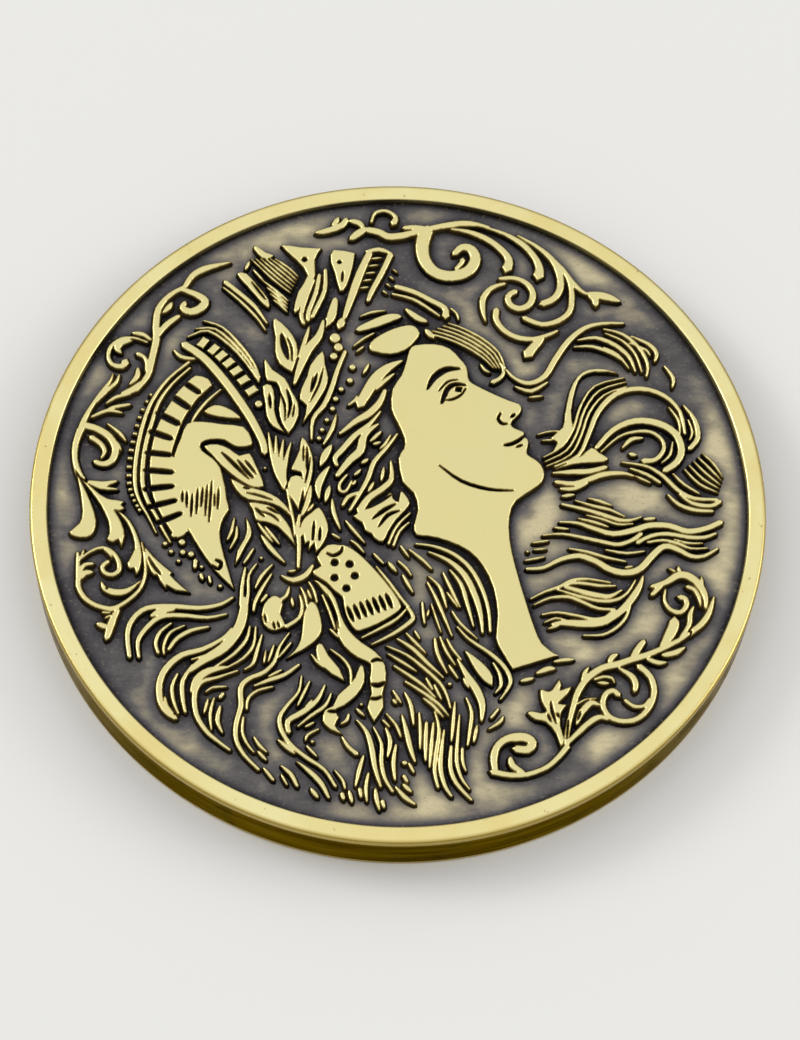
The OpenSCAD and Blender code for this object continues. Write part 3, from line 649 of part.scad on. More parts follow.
// Scrollwork at the upper left, from its top leaf down to the volute.
SCROLL_LEFT = [
  [[.12, .5, .35], [[-11.4, 15.85], [-12.3, 15.55], [-13.1, 15.2], [-13.7, 14.7], [-14.1, 13.9]]],
  [[.3, .5, .35], [[-14.1, 13.9], [-15, 13.2], [-15.6, 12.2], [-15.65, 11], [-15.55, 10],
    [-15.7, 8.6], [-15.85, 7.4], [-16.5, 6.3]]],
  [[.35, .6, .35], [[-14.3, 13.7], [-13.4, 13.4], [-12.75, 12.95], [-13, 12.4], [-13.6, 12.1],
    [-14.1, 12.35], [-14, 12.75]]],
  [[.12, .4, .15], [[-15.3, 11.9], [-15, 12.3], [-14.8, 12.7]]],
  [[.2, .45, .3], [[-15.5, 10.1], [-15.2, 10.8], [-14.8, 11.3], [-14.3, 11.75]]],
  [[.25, .35, .2], [[-17, 10.35], [-16.4, 10.3], [-15.9, 9.95]]],
  [[.15, .3, .55], [[-16.1, 9.75], [-16.9, 10], [-17.7, 9.9], [-18.3, 9.3], [-18.4, 8.6],
    [-18.1, 8.05], [-17.5, 7.95], [-17.3, 8.3]]],
  [[.2, .5, .2], [[-17.1, 9.8], [-17.7, 9.6], [-17.9, 9.2], [-17.65, 8.9]]],
  [[.35, .3, .15], [[-16.6, 8.9], [-16.2, 8.7], [-16, 8.3], [-16, 7.7]]],
  [[.2, .4, .15], [[-16.5, 7.9], [-16.5, 7.3], [-16.9, 6.7]]],
  [[.2, .5, .35], [[-16.1, 7], [-16.6, 6.4], [-17.3, 6]]],
  [[.12, .3, .12], [[-16.8, 6], [-17.6, 5.8], [-18.2, 5.3]]],
  [[.25, .3, .12], [[-16.8, 5.3], [-17.6, 5.1], [-18.1, 4.9]]],
  [[.15, .3, .2], [[-17.2, 4.7], [-18.1, 4.8], [-19, 4.3]]],
  [[.15, .3, .25], [[-17.6, 7.35], [-17.75, 6.8], [-18.3, 6.1], [-18.9, 5.3]]],
  [[.12, .3, .5], [[-18, 7.4], [-18.1, 6.9], [-18.6, 6], [-19, 5.2], [-19.4, 4.2], [-19.6, 3.3]]],
  [[.5, .4, .5], [[-19.6, 3.4], [-19.8, 2.4], [-19.75, 1.4], [-19.5, .6], [-19.2, 0]]],
  [[.5, .5, .35], [[-19.4, 3.7], [-18.6, 3.5], [-17.8, 3], [-17.35, 2.2], [-17.5, 1.4],
    [-18, 1.1], [-18.5, 1.25]]],
  [[.4, .35, .15], [[-18.9, 2.9], [-18.3, 2.5], [-18, 2], [-18.15, 1.5]]],
  [[.1, .22, .1], [[-17.6, 2.9], [-17.2, 2.5], [-17, 2.1]]],
  [[.1, .3, .15], [[-18, 3.9], [-17.2, 3.3], [-16.8, 2.8]]]];

// Leaf tails under the left volute.
LEAF_TAILS = [
  [[[-19.5, .3], [-19.2, -.9], [-18.95, -2.2], [-19.05, -2.95], [-19.6, -3.6], [-19.2, -3.9],
    [-18.5, -3.9], [-18.1, -3.5], [-18.05, -2.7], [-18.4, -1.7], [-18.95, -.6]]],
  [[[-19.2, 0], [-18.5, -.9], [-17.9, -1.7], [-17.35, -2.7], [-17.2, -3.5], [-17.3, -3.95],
    [-16.9, -4.1], [-16.6, -3.9], [-16.4, -4.35], [-16.25, -3.6], [-16.5, -2.8], [-17, -2],
    [-17.6, -1.3], [-18.4, -.6]]],
  [[.15, .42, .2], [[-18.8, -.1], [-17.9, -.25], [-17.1, 0]]],
  [[.15, .3, .12], [[-18.8, -.2], [-17.9, -.5], [-17, -.55]]],
  [[[-18.4, -.75], [-17.5, -1.2], [-17, -1.25], [-16.5, -1.35], [-16.65, -1.55], [-16.45, -1.8],
    [-16.7, -2], [-17, -1.95], [-17.6, -1.6]]],
  [[[-16.8, -2.05], [-16.2, -2.8], [-15.8, -3.6], [-15.6, -4.5], [-15.95, -5.45], [-15.75, -5.8],
    [-15.5, -5.75], [-15.35, -6.15], [-15.15, -5.8], [-15.1, -4.8], [-15.35, -3.9],
    [-15.75, -3], [-16.3, -2.3]]]];

// Scrollwork at the lower left.
SCROLL_LOWER_LEFT = [
  [[.12, .26, .4], [[-15.2, -4], [-14.95, -5], [-14.8, -6], [-15, -7], [-15.5, -7.7], [-16.2, -8.3],
    [-16.7, -8.5]]],
  [[.35, .36, .25], [[-16.5, -8.5], [-17.4, -8.35], [-18.2, -7.9], [-18.7, -7.1], [-18.7, -6.2],
    [-18.45, -5.7], [-18, -5.6]]],
  [[.2, .3, .12], [[-18.95, -4.9], [-18.85, -5.8], [-18.8, -7]]],
  [[.12, .22, .12], [[-18.6, -4.7], [-18.75, -5.4]]],
  [[.3, .42, .25], [[-18.6, -6.6], [-18.4, -6.25], [-18, -6.15]]],
  [[.15, .34, .3], [[-18.7, -5.3], [-18.2, -4.8], [-17.5, -4.5], [-16.85, -4.8], [-16.45, -5.4],
    [-16.4, -5.95], [-16.75, -6.25], [-17.2, -6.15], [-17.4, -5.75], [-17.1, -5.4]]],
  [[.1, .18, .1], [[-17.4, -4.65], [-17.1, -4.85], [-16.9, -5.1]]],
  [[.12, .5, .08], [[-17.35, -6.75], [-17.1, -7.2], [-16.4, -7.4], [-15.7, -7.2], [-15.05, -6.55]]],
  [[[-15, -4.3], [-14.4, -4.9], [-13.7, -5.5], [-13.2, -5.9], [-13.3, -6.05], [-12.6, -6.7],
    [-12.1, -7.1], [-12.1, -7.1], [-12.9, -7.05], [-13.5, -6.75], [-13.5, -6.95], [-13.9, -6.5],
    [-14.1, -6.1], [-14.3, -6.15], [-14.7, -5.5]]],
  [[.3, .5, .35], [[-16.2, -8.5], [-16.45, -9.2], [-16.6, -9.9], [-16.7, -10.4]]],
  [[.3, .42, .3], [[-17.3, -9.5], [-16.7, -9.7]]],
  [[.12, .2, .12], [[-17.1, -8.75], [-16.7, -8.75]]],
  [[.12, .2, .12], [[-16.9, -9.1], [-16.6, -8.9]]]];
TAIL_VEINS = [
  [[.05, .14, .05], [[-14.7, -5], [-14.3, -5.6], [-13.9, -6.05]]],
  [[.05, .12, .05], [[-16.95, -6.85], [-17, -7.2]]]];

// Scrollwork at the lower right: hook, acanthus, stem and ring.
SCROLL_LOWER_RIGHT = [
  [[.4, .62, .5], [[6.45, -17.4], [6.35, -16.5], [6.65, -15.75], [7.3, -15.3], [8.1, -15.2],
    [8.55, -15.5], [8.3, -15.95], [7.6, -15.95]]],
  [[.45, .36, .4], [[6.3, -17.45], [7.3, -17.6], [8.3, -17.5], [9.4, -17], [10.1, -16.3],
    [10.6, -15.6]]],
  [[.25, .45, .3], [[7.3, -16.5], [7.45, -17], [8.1, -17.4]]],
  [[[10.2, -15.7], [9.9, -14.9], [9.3, -14.2], [8.7, -14.1], [8.2, -13.7], [8.45, -13.5],
    [9, -13.6], [9.3, -13.45], [9, -12.9], [8.9, -12.1], [9.3, -12.2], [9.6, -12.1], [10, -11.4],
    [10.15, -11.8], [10.1, -12.1], [10.75, -11.8], [10.5, -12.4], [10, -12.95], [10.5, -13],
    [10.2, -13.5], [10.15, -14.3], [10.4, -15.2]]],
  [[.25, .48, .3], [[10.5, -15.5], [10.6, -14.5], [10.85, -13.2], [11.15, -12.1], [11.7, -11.2],
    [12.5, -10.55], [13.4, -10.25], [14.2, -9.9], [15, -9.6], [16, -9.1], [17, -8.5], [17.6, -8]]],
  [[.3, .3, .1], [[11.4, -11.4], [11.5, -10.9], [11.75, -10.5]]],
  [[.2, .4, .2], [[12.9, -10.2], [13.1, -9.8], [13.4, -9.6]]],
  [[.4, .46, .35], [[14.3, -9.8], [14.6, -9.2], [14.95, -8.65]]],
  [[.3, .36, .12], [[15.2, -9.8], [15.8, -10], [16.3, -9.95]]],
  [[.3, .42, .12], [[16.1, -9.5], [16.8, -9.3], [17.4, -8.9]]],
  [[.12, .7, .6], [[15.9, -9], [16.4, -8.3], [16.7, -7.6], [16.75, -7.2]]],
  [[.2, .36, .12], [[17.1, -8.3], [17.6, -7.5], [17.7, -6.7], [17.9, -6.2]]],
  [[.3, .42, .2], [[10.6, -15.4], [11.3, -14.6], [12, -13.9], [12.5, -13.65], [12.9, -13.8]]],
  [[.15, .44, .25], [[11.1, -14.2], [11.4, -13.4], [11.9, -12.8], [12.35, -12.9]]],
  [[.1, .16, .1], [[11, -13], [11.6, -12.6], [12.2, -12.5]]],
  [[.4, .38, .45], [[13.5, -12.2], [13.2, -11.95], [12.75, -12.2], [12.6, -12.9], [13, -13.6],
    [13.8, -13.85], [14.7, -13.6], [15.35, -12.8], [15.6, -11.8], [15.35, -10.9], [14.7, -10.3]]],
  [[.28, .3, .12], [[13.9, -12.5], [14.4, -12.85], [15, -12.8], [15.3, -12.3]]],
  [[.2, .44, .3], [[13.5, -10.5], [14.2, -10.9], [14.5, -11.4], [14.45, -11.9]]],
  [[.2, .25, .12], [[12.1, -11.3], [12.6, -11.1], [13.1, -11.15], [13.25, -11.45]]],
  [[.15, .3, .15], [[12.3, -11.5], [12.9, -11.5]]]];
ACANTHUS_VEINS = [
  [[.05, .14, .05], [[9.55, -12.9], [9.65, -13.5], [9.9, -14.2]]],
  [[.05, .12, .05], [[9.4, -13.7], [9.6, -14.1]]],
  [[.05, .12, .05], [[9.95, -13.6], [10.05, -13.8]]],
  [[.06, .16, .05], [[6.7, -16.9], [6.7, -16.2], [7, -15.8], [7.4, -15.6], [7.9, -15.6]]],
  [[.05, .12, .05], [[10.6, -14], [10.55, -15.1]]],
  [[.04, .14, .04], [[11.3, -13.4], [11.15, -13.9]]]];

// Curl at the right edge.
SCROLL_RIGHT = [
  [[.15, .36, .4], [[16.2, -5.2], [16.15, -5.9], [16.5, -6.5], [17.1, -6.65], [17.45, -6.2],
    [17.4, -5.75], [17.05, -5.65]]],
  [[.3, .55, .2], [[15.4, -5.05], [16.2, -4.75], [17, -4.2], [17.7, -4.3], [18.3, -4.9],
    [18.6, -5.6], [18.6, -6.3]]],
  [[.4, .3, .1], [[17.1, -4.2], [16.95, -3.6]]],
  [[.35, .26, .1], [[18.4, -4.95], [18.35, -4.2]]],
  [[.3, .35, .3], [[16, -4.9], [15.4, -5.6]]],
  [[.1, .2, .1], [[16.8, -4], [16.4, -3.8]]],
  [[.3, .32, .1], [[17.5, -4.95], [17.9, -5.1], [18.2, -5.6], [18.3, -6.2]]],
  [[.15, .42, .4], [[19.1, -5.5], [18.8, -6.6], [18.3, -7.4], [17.6, -8.05]]]];

// One S shaped scroll with a curled end and two leaves, drawn around its own middle.
BACK_SCROLL = [
  [[.15, .8, .6], [[-3, -4.4], [-1.4, -4.6], [.4, -3.7], [1.4, -2], [1.3, 0], [.2, 1.6], [-1.2, 2.2],
    [-2.3, 1.4], [-2.2, 0], [-1.1, -.5]]],
  [[.2, .9, .15], [[1.2, .6], [2.2, 1.9], [2.4, 3.4], [1.7, 4.8]]],
  [[.2, .7, .12], [[-.2, 2], [.4, 3.2], [.2, 4.4]]],
  [[.3, .6, .12], [[1.2, -2.6], [2.4, -3.2], [3, -4.4]]]];

// ---- Curves -------------------------------------------------------------------
function mix(a, b, t) = a + (b - a) * t;

// One point of the smooth curve through p1 and p2, with their neighbours p0 and p3.
function curve_point(p0, p1, p2, p3, t) =
  0.5 * (2 * p1 + (p2 - p0) * t + (2 * p0 - 5 * p1 + 4 * p2 - p3) * t * t
    + (3 * p1 - p0 - 3 * p2 + p3) * t * t * t);

function held(p, i) = p[max(0, min(len(p) - 1, i))];
function wrapped(p, i) = p[(i + len(p)) % len(p)];

function open_curve(p, n) = len(p) < 2 ? p : concat(
  [for (i = [0:len(p) - 2], k = [0:n - 1])
    curve_point(held(p, i - 1), p[i], p[i + 1], held(p, i + 2), k / n)],
  [p[len(p) - 1]]);

function closed_curve(p, n) =
  [for (i = [0:len(p) - 1], k = [0:n - 1])
    if (k == 0 || norm(wrapped(p, i + 1) - p[i]) > 0.01)
      curve_point(wrapped(p, i - 1), p[i], wrapped(p, i + 1), wrapped(p, i + 2), k / n)];

// Unit vector to the left of the curve at point i.
function left_of(p, i) =
  let (d = held(p, i + 1) - held(p, i - 1), l = max(norm(d), 0.001)) [-d[1], d[0]] / l;

// Width of a stroke at t from 0 to 1: full in the middle, easing to each end's own width.
function stroke_width(w, t) = mix(t < 0.5 ? w[0] : w[2], w[1], sin(180 * t));

function stroke_outline(w, path, n) =
  let (c = open_curve(path, n), last = len(c) - 1,
    side = [for (i = [0:last]) left_of(c, i) * stroke_width(w, i / last) / 2],
    tip = [for (i = [0, last]) [side[i][1], -side[i][0]]])
  concat([c[0] - tip[0]], [for (i = [0:last]) c[i] + side[i]], [c[last] + tip[1]],
    [for (i = [last:-1:0]) c[i] - side[i]]);

function scaled_path(path, k) = [for (p = path) p * k];
function between(a, b, t) = [for (i = [0:len(a) - 1]) mix(a[i], b[i], t)];

// A point given in face heights, turned by the tilt and put in the artwork.
function face_point(p) = HEAD_AT + face_h * [
  p[0] * cos(head_tilt) - p[1] * sin(head_tilt),
  p[0] * sin(head_tilt) + p[1] * cos(head_tilt)];

// Point and direction at fraction t along a line of points.
function along(line, t) =
  let (c = open_curve(line, 6), u = t * (len(c) - 1), i = min(floor(u), len(c) - 2))
  [mix(c[i], c[i + 1], u - i), (c[i + 1] - c[i]) / norm(c[i + 1] - c[i])];

// ---- Drawing ------------------------------------------------------------------
module stroke(w, path) {
  if (len(path) == 1) translate(path[0]) circle(d = w[0], $fn = 12);
  else polygon(stroke_outline(w, path, 3));
}

module artwork(art, k = art_k) {
  for (a = art) {
    if (len(a) == 1) polygon(closed_curve(scaled_path(a[0], k), 2));
    else if (len(a) == 2) stroke(a[0] * k, scaled_path(a[1], k));
    else for (i = [0:a[3] - 1])
      stroke(a[0] * k, scaled_path(between(a[1], a[2], i / (a[3] - 1)), k));
  }
}

// Relief standing on the front field; everything drawn as a child is joined and cut by art.
module front_relief(cuts = []) {
  color(brass) translate([0, 0, front_field_z]) linear_extrude(front_h)
    offset(delta = 0.004) difference() {
      children();
      artwork(cuts);
    }
}

// Children cut back so that they stay clear of a neighbour's artwork.
module clear_of(neighbour) {
  difference() {
    children();
    offset(delta = gap * art_k) artwork(neighbour);
  }
}

module clear_of_head() {
  difference() {
    children();
    offset(delta = gap * art_k) head_outline();
  }
}

module back_relief() {
  color(brass) translate([0, 0, back_field_z - back_h]) linear_extrude(back_h)
    offset(delta = 0.004) children();
}

// Blocks of the given size standing across a line.
module blocks(line, count, size) {
  for (i = [0:count - 1]) {
    at = along(line, (i + 0.5) / count);
    translate(at[0] * art_k) rotate(atan2(at[1][1], at[1][0]))
      square([mix(size[0][0], size[1][0], i / count), mix(size[0][1], size[1][1], i / count)]
        * art_k, center = true);
  }
}

// Section of a raised rim, from its inner to its outer face, rounded at the top outside.
module rim_section(inner_r) {
  intersection() {
    translate([inner_r, 0]) square([coin_r - inner_r, rim_h]);
    union() {
      translate([0, -coin_t]) square([coin_r - edge_round, rim_h + coin_t]);
      translate([0, -coin_t]) square([coin_r, rim_h - edge_round + coin_t]);
      translate([coin_r - edge_round, rim_h - edge_round]) circle(edge_round, $fn = 32);
    }
  }
}

// ---- Blank and rims -----------------------------------------------------------
module coin_blank() {
  color(patina) translate([0, 0, back_field_z]) cylinder(h = blank_t, r = coin_r, $fn = 180);
}

module front_rim() {
  color(brass) translate([0, 0, front_field_z])
    rotate_extrude($fn = 180) rim_section(front_field_r);
}

module back_rim() {
  color(brass) translate([0, 0, back_field_z]) mirror([0, 0, 1])
    rotate_extrude($fn = 180) rim_section(back_field_r);
}

// ---- Front: head and hair -----------------------------------------------------
module head_outline() {
  profile = [for (p = FACE_PROFILE) face_point(p)];
  throat = profile[len(profile) - 1];
  run = NECK_BASE - throat;
  back = [run[1], -run[0]] / norm(run);
  neck = [for (q = NECK_FRONT) throat + run * q[0] + back * q[1]];
  artwork([[concat(profile, neck, [NECK_BASE], NAPE_AND_HAIRLINE)]]);
}

module head_and_neck() {
  face_lines = [for (f = FACE_LINES) [f[0] * face_h, [for (p = f[1]) face_point(p)]]];
  front_relief(face_lines) head_outline();
}

module neck_dashes() { front_relief() artwork(NECK_DASHES); }
module forehead_locks() { front_relief() clear_of_head() artwork(FOREHEAD_LOCKS); }
module side_locks() { front_relief(SIDE_HATCH) clear_of_head() artwork(SIDE_LOCKS); }
module wind_hair_upper() { front_relief() clear_of_head() artwork(WIND_UPPER); }
module wind_hair_lower() { front_relief() clear_of_head() artwork(WIND_LOWER); }
module falling_hair_left() { front_relief() artwork(FALLING_LEFT); }
module falling_hair_centre() { front_relief() clear_of_head() artwork(FALLING_CENTRE); }
module nape_hair() { front_relief() clear_of_head() artwork(NAPE_HAIR); }

// ---- Front: headdress ---------------------------------------------------------
module leaf_spray() { front_relief(LEAF_VEINS) artwork(LEAF_SPRAY); }
module feather_fan() { front_relief(FEATHER_DOTS) clear_of(LEAF_SPRAY) artwork(FEATHER_FAN); }
module crescent_comb() { front_relief(COMB_HATCH) artwork(CRESCENT_COMB); }

module comb_teeth() {
  front_relief() clear_of(CRESCENT_COMB) {
    blocks(LADDER_LINE, 7, [[0.5, 0.75], [0.5, 0.75]]);
    blocks(SERRATION_LINE, 17, [[0.2, 0.35], [0.2, 0.35]]);
  }
}

module bell_ornament() {
  front_relief(BELL_NOTCHES) difference() {
    artwork(BELL);
    for (p = BELL_DOTS) translate(p * art_k) circle(d = 0.46 * art_k, $fn = 16);
    for (i = [0:6]) {
      top = mix(BELL_SLOTS[0], BELL_SLOTS[1], i / 6);
      artwork([[[0.08, 0.25, 0.1], [top, top + BELL_SLOT_LEAN]]]);
    }
  }
}

module bow_and_ribbons() { front_relief(BOW_BANDS) artwork(BOW); }

// ---- Front: scrollwork --------------------------------------------------------
module scroll_top() { front_relief() artwork(SCROLL_TOP); }
module scroll_left() { front_relief() clear_of(LEAF_TAILS) artwork(SCROLL_LEFT); }
module leaf_tails() { front_relief() artwork(LEAF_TAILS); }
module scroll_lower_left() { front_relief(TAIL_VEINS) artwork(SCROLL_LOWER_LEFT); }
module scroll_lower_right() { front_relief(ACANTHUS_VEINS) artwork(SCROLL_LOWER_RIGHT); }
module scroll_right() { front_relief() clear_of(SCROLL_LOWER_RIGHT) artwork(SCROLL_RIGHT); }

// ---- Back ---------------------------------------------------------------------
module back_rosette() {
  color(brass) translate([0, 0, back_field_z - back_h])
    cylinder(h = back_h, r = rosette_r * 0.2, $fn = 48);
  back_relief() for (i = [0:petals - 1]) rotate(i * 360 / petals) {
    stroke([0.15, 1, 0.12] * petal_w, [[rosette_r * 0.28, 0], [rosette_r * 0.7, 0], [rosette_r, 0]]);
    rotate(180 / petals)
      stroke([0.1, 0.3, 0.1] * petal_w, [[rosette_r * 0.62, 0], [rosette_r * 0.98, 0]]);
  }
}

module back_scrolls() {
  back_relief() for (i = [0:scrolls - 1]) rotate(i * 360 / scrolls)
    translate([scroll_ring_r, 0]) rotate(-90) artwork(BACK_SCROLL, scroll_k);
}

module back_pearls() {
  color(brass) for (i = [0:pearls - 1]) rotate(i * 360 / pearls)
    translate([pearl_ring_r, 0, back_field_z - back_h])
      cylinder(h = back_h, d = pearl_d, $fn = 24);
}

// ---- Assembly -----------------------------------------------------------------
coin_blank();
front_rim();
back_rim();
head_and_neck();
neck_dashes();
forehead_locks();
side_locks();
wind_hair_upper();
wind_hair_lower();
falling_hair_left();
falling_hair_centre();
nape_hair();
leaf_spray();
feather_fan();
crescent_comb();
comb_teeth();
bell_ornament();
bow_and_ribbons();
scroll_top();
scroll_left();
leaf_tails();
scroll_lower_left();
scroll_lower_right();
scroll_right();
back_rosette();
back_scrolls();
back_pearls();
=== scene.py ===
import math

import bpy
import numpy as np
from mathutils import Matrix, Vector
from mathutils.geometry import delaunay_2d_cdt


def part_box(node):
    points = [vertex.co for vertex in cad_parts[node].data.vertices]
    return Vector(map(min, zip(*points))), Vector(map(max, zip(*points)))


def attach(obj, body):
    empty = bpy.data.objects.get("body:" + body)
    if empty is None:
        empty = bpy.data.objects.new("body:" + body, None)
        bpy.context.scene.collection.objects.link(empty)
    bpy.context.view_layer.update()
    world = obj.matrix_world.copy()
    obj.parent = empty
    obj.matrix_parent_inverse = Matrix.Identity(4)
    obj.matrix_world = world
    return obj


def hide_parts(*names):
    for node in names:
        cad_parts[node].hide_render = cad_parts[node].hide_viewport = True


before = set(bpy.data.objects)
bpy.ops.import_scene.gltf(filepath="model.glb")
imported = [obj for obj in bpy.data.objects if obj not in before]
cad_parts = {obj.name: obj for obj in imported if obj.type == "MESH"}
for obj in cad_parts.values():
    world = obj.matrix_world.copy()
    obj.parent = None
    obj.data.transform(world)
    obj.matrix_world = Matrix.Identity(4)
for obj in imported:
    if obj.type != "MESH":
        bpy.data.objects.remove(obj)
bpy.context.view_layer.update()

MM = 0.001
# The lengths below are in mm.
STEP = 0.05      # between the points of the relief's own grid
CELL = 0.1                              # between the points of the ground cover's grid
SINK = 0.06                             # how far relief and rims reach into the blank
RIM_W = 1.05                            # width of the front rim
FRONT_FIELD_R, BACK_FIELD_R = 21.2, 20.95
FRONT_RELIEF, BACK_RELIEF = 0.40, 0.30  # height of the relief over its field

blank_lo, blank_hi = (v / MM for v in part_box("coin_blank"))
FRONT_Z, BACK_Z = blank_hi.z, blank_lo.z
COIN_R = blank_hi.x
RIM_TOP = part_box("front_rim")[1].z / MM


def add_object(name, data):
    item = bpy.data.objects.new(name, data)
    bpy.context.scene.collection.objects.link(item)
    return item


# ---- Camera: the photograph's angle -------------------------------------------
def place_camera():
    aim = Vector((0.158, -1.64, RIM_TOP)) * MM
    away = 0.1738                       # metres from the aim to the camera
    rise, roll = math.radians(63.54), math.radians(3.175)
    back = Vector((0, -math.cos(rise), math.sin(rise)))
    right = Vector((1, 0, 0))
    up = back.cross(right)
    side = math.cos(roll) * right + math.sin(roll) * up
    top = -math.sin(roll) * right + math.cos(roll) * up
    turn = Matrix((side, top, back)).transposed().to_4x4()
    data = bpy.data.cameras.new("camera")
    data.sensor_fit = "VERTICAL"
    data.sensor_height = 36
    data.lens = 100
    data.clip_start, data.clip_end = 0.01, 20
    camera = add_object("camera", data)
    camera.matrix_world = Matrix.Translation(aim + back * away) @ turn
    bpy.context.scene.camera = camera


# ---- Small node-tree helpers --------------------------------------------------
class Nodes:
    def __init__(self, name):
        self.material = bpy.data.materials.new(name)
        self.material.use_nodes = True
        self.tree = self.material.node_tree
        self.shader = self.tree.nodes["Principled BSDF"]

    def add(self, kind, inputs=None, **settings):
        node = self.tree.nodes.new(kind)
        for key, value in settings.items():
            setattr(node, key, value)
        for key, value in (inputs or {}).items():
            self.put(value, node.inputs[key])
        return node

    def put(self, value, socket):
        if isinstance(value, bpy.types.NodeSocket):
            self.tree.links.new(value, socket)
        else:
            socket.default_value = value

    def place(self):
        return self.add("ShaderNodeTexCoord").outputs["Object"]

    def radius(self, parts):
        flat = self.add("ShaderNodeCombineXYZ", {0: parts["X"], 1: parts["Y"]}).outputs[0]
        return self.add("ShaderNodeVectorMath", {0: flat}, operation="LENGTH").outputs["Value"]

    def noise(self, where, scale, detail=4, rough=0.55, stretch=None, turn=0.0):
        if stretch:
            inputs = {"Vector": where, "Rotation": (0, 0, turn), "Scale": stretch}
            where = self.add("ShaderNodeMapping", inputs).outputs[0]
        inputs = {"Vector": where, "Scale": scale, "Detail": detail, "Roughness": rough}
        return self.add("ShaderNodeTexNoise", inputs).outputs["Fac"]

    def remap(self, value, lo, hi, a=0.0, b=1.0, smooth=True):
        n = self.add("ShaderNodeMapRange",
                     {"Value": value, "From Min": lo, "From Max": hi, "To Min": a, "To Max": b})
        n.interpolation_type = "SMOOTHSTEP" if smooth else "LINEAR"
        return n.outputs["Result"]

    def maths(self, operation, a, b=0.0, clamp=False):
        n = self.add("ShaderNodeMath", {0: a, 1: b}, operation=operation, use_clamp=clamp)
        return n.outputs[0]

    def mix(self, share, a, b):
        n = self.add("ShaderNodeMix", data_type="RGBA")
        for value, socket in ((share, n.inputs[0]), (a, n.inputs[6]), (b, n.inputs[7])):
            self.put(value, socket)
        return n.outputs[2]

    def ramp(self, value, stops):
        n = self.add("ShaderNodeValToRGB", {"Fac": value})
        points = n.color_ramp.elements
        while len(points) < len(stops):
            points.new(0.5)
        for point, (at, colour) in zip(points, stops):
            point.position = at
            point.color = (*colour, 1)
        return n.outputs["Color"]

    def bump(self, height, distance, strength=1.0, under=None):
        inputs = {"Height": height, "Distance": distance, "Strength": strength}
        if under is not None:
            inputs["Normal"] = under
        return self.add("ShaderNodeBump", inputs).outputs["Normal"]

    def finish(self, colour, rough, normal, metallic=1.0):
        self.put(colour, self.shader.inputs["Base Color"])
        self.put(rough, self.shader.inputs["Roughness"])
        self.put(normal, self.shader.inputs["Normal"])
        self.shader.inputs["Metallic"].default_value = metallic
        return self.material


PALE = (0.81, 0.735, 0.36)
GOLD = (0.40, 0.31, 0.09)
OLIVE = (0.10, 0.072, 0.02)
INK = (0.012, 0.010, 0.008)
# Colours of the relief from its foot to its top, and of the field from covered to rubbed ground; the covered
# end is patina plus painted shade beside the relief and rim.
RELIEF_TONES = [(0.0, INK), (0.58, INK), (0.73, OLIVE), (0.84, GOLD), (0.925, PALE)]
FIELD_TONES = [(0.0, (0.018, 0.017, 0.020)), (0.20, (0.072, 0.068, 0.077)),
               (0.46, (0.145, 0.136, 0.136)), (0.72, (0.33, 0.295, 0.22)), (1.0, (0.66, 0.58, 0.37))]
FIELD_TINT = (0.55, 0.46, 0.26, 1)      # tint of the blank's reflections at a low angle


def relief_material(name, foot, top):
    """Pale brass on the polished tops, golden on the shoulders, black patina down the walls."""
    m = Nodes(name)
    at = m.place()
    z = m.add("ShaderNodeSeparateXYZ", {0: at}).outputs["Z"]
    rise = m.remap(z, foot * MM, top * MM, smooth=False)
    grime = m.noise(at, 2600, 5, 0.6)
    level = m.maths("ADD", rise, m.remap(grime, 0.3, 0.7, -0.07, 0.07, smooth=False))
    colour = m.ramp(level, RELIEF_TONES)
    cloud = m.noise(at, 260, 4)
    colour = m.mix(m.remap(cloud, 0.35, 0.7, 0, 0.35), colour, m.mix(0.25, colour, (0.9, 0.62, 0.2, 1)))
    pits = m.remap(m.noise(at, 5200, 2, 0.5), 0.74, 0.82)
    colour = m.mix(m.maths("MULTIPLY", pits, 0.35), colour, (0.10, 0.08, 0.03, 1))
    scratch = m.noise(at, 900, 3, 0.5, stretch=(1, 14, 1), turn=0.9)
    rough = m.maths("ADD", m.remap(level, 0.6, 0.95, 0.62, 0.36), m.remap(scratch, 0.3, 0.7, -0.05, 0.07))
    normal = m.bump(m.noise(at, 3400, 4, 0.6), 0.00001, 0.5)
    normal = m.bump(scratch, 0.000004, 0.5, under=normal)
    return m.finish(colour, rough, normal)


def rim_material(name):
    """Polished yellow brass with a fine grain that follows the rim."""
    m = Nodes(name)
    at = m.place()
    parts = m.add("ShaderNodeSeparateXYZ", {0: at}).outputs
    radius = m.radius(parts)
    # slow along the rim and fast across it, with no seam
    ring = m.add("ShaderNodeCombineXYZ", {0: m.maths("MULTIPLY", parts["X"], 0.15),
                                          1: m.maths("MULTIPLY", parts["Y"], 0.15),
                                          2: m.maths("ADD", radius, parts["Z"])}).outputs[0]
    grain = m.noise(ring, 5200, 3, 0.6)
    cloud = m.noise(at, 170, 4)
    inner = m.remap(radius, (COIN_R - RIM_W - 0.16) * MM, (COIN_R - RIM_W + 0.06) * MM)
    outer = m.remap(radius, (COIN_R - 0.30) * MM, (COIN_R - 0.02) * MM)
    top = m.mix(m.remap(cloud, 0.35, 0.68), (0.90, 0.82, 0.42, 1), (0.84, 0.72, 0.31, 1))
    colour = m.mix(inner, (0.05, 0.04, 0.015, 1), top)
    colour = m.mix(outer, colour, (0.46, 0.335, 0.075, 1))
    specks = m.remap(m.noise(at, 2100, 2, 0.5), 0.71, 0.76)
    colour = m.mix(m.maths("MULTIPLY", specks, 0.5), colour, (0.16, 0.11, 0.04, 1))
    rough = m.remap(grain, 0.3, 0.7, 0.24, 0.38)
    normal = m.bump(grain, 0.000005, 0.45)
    normal = m.bump(m.noise(at, 420, 3), 0.00002, 0.5, under=normal)
    return m.finish(colour, rough, normal)


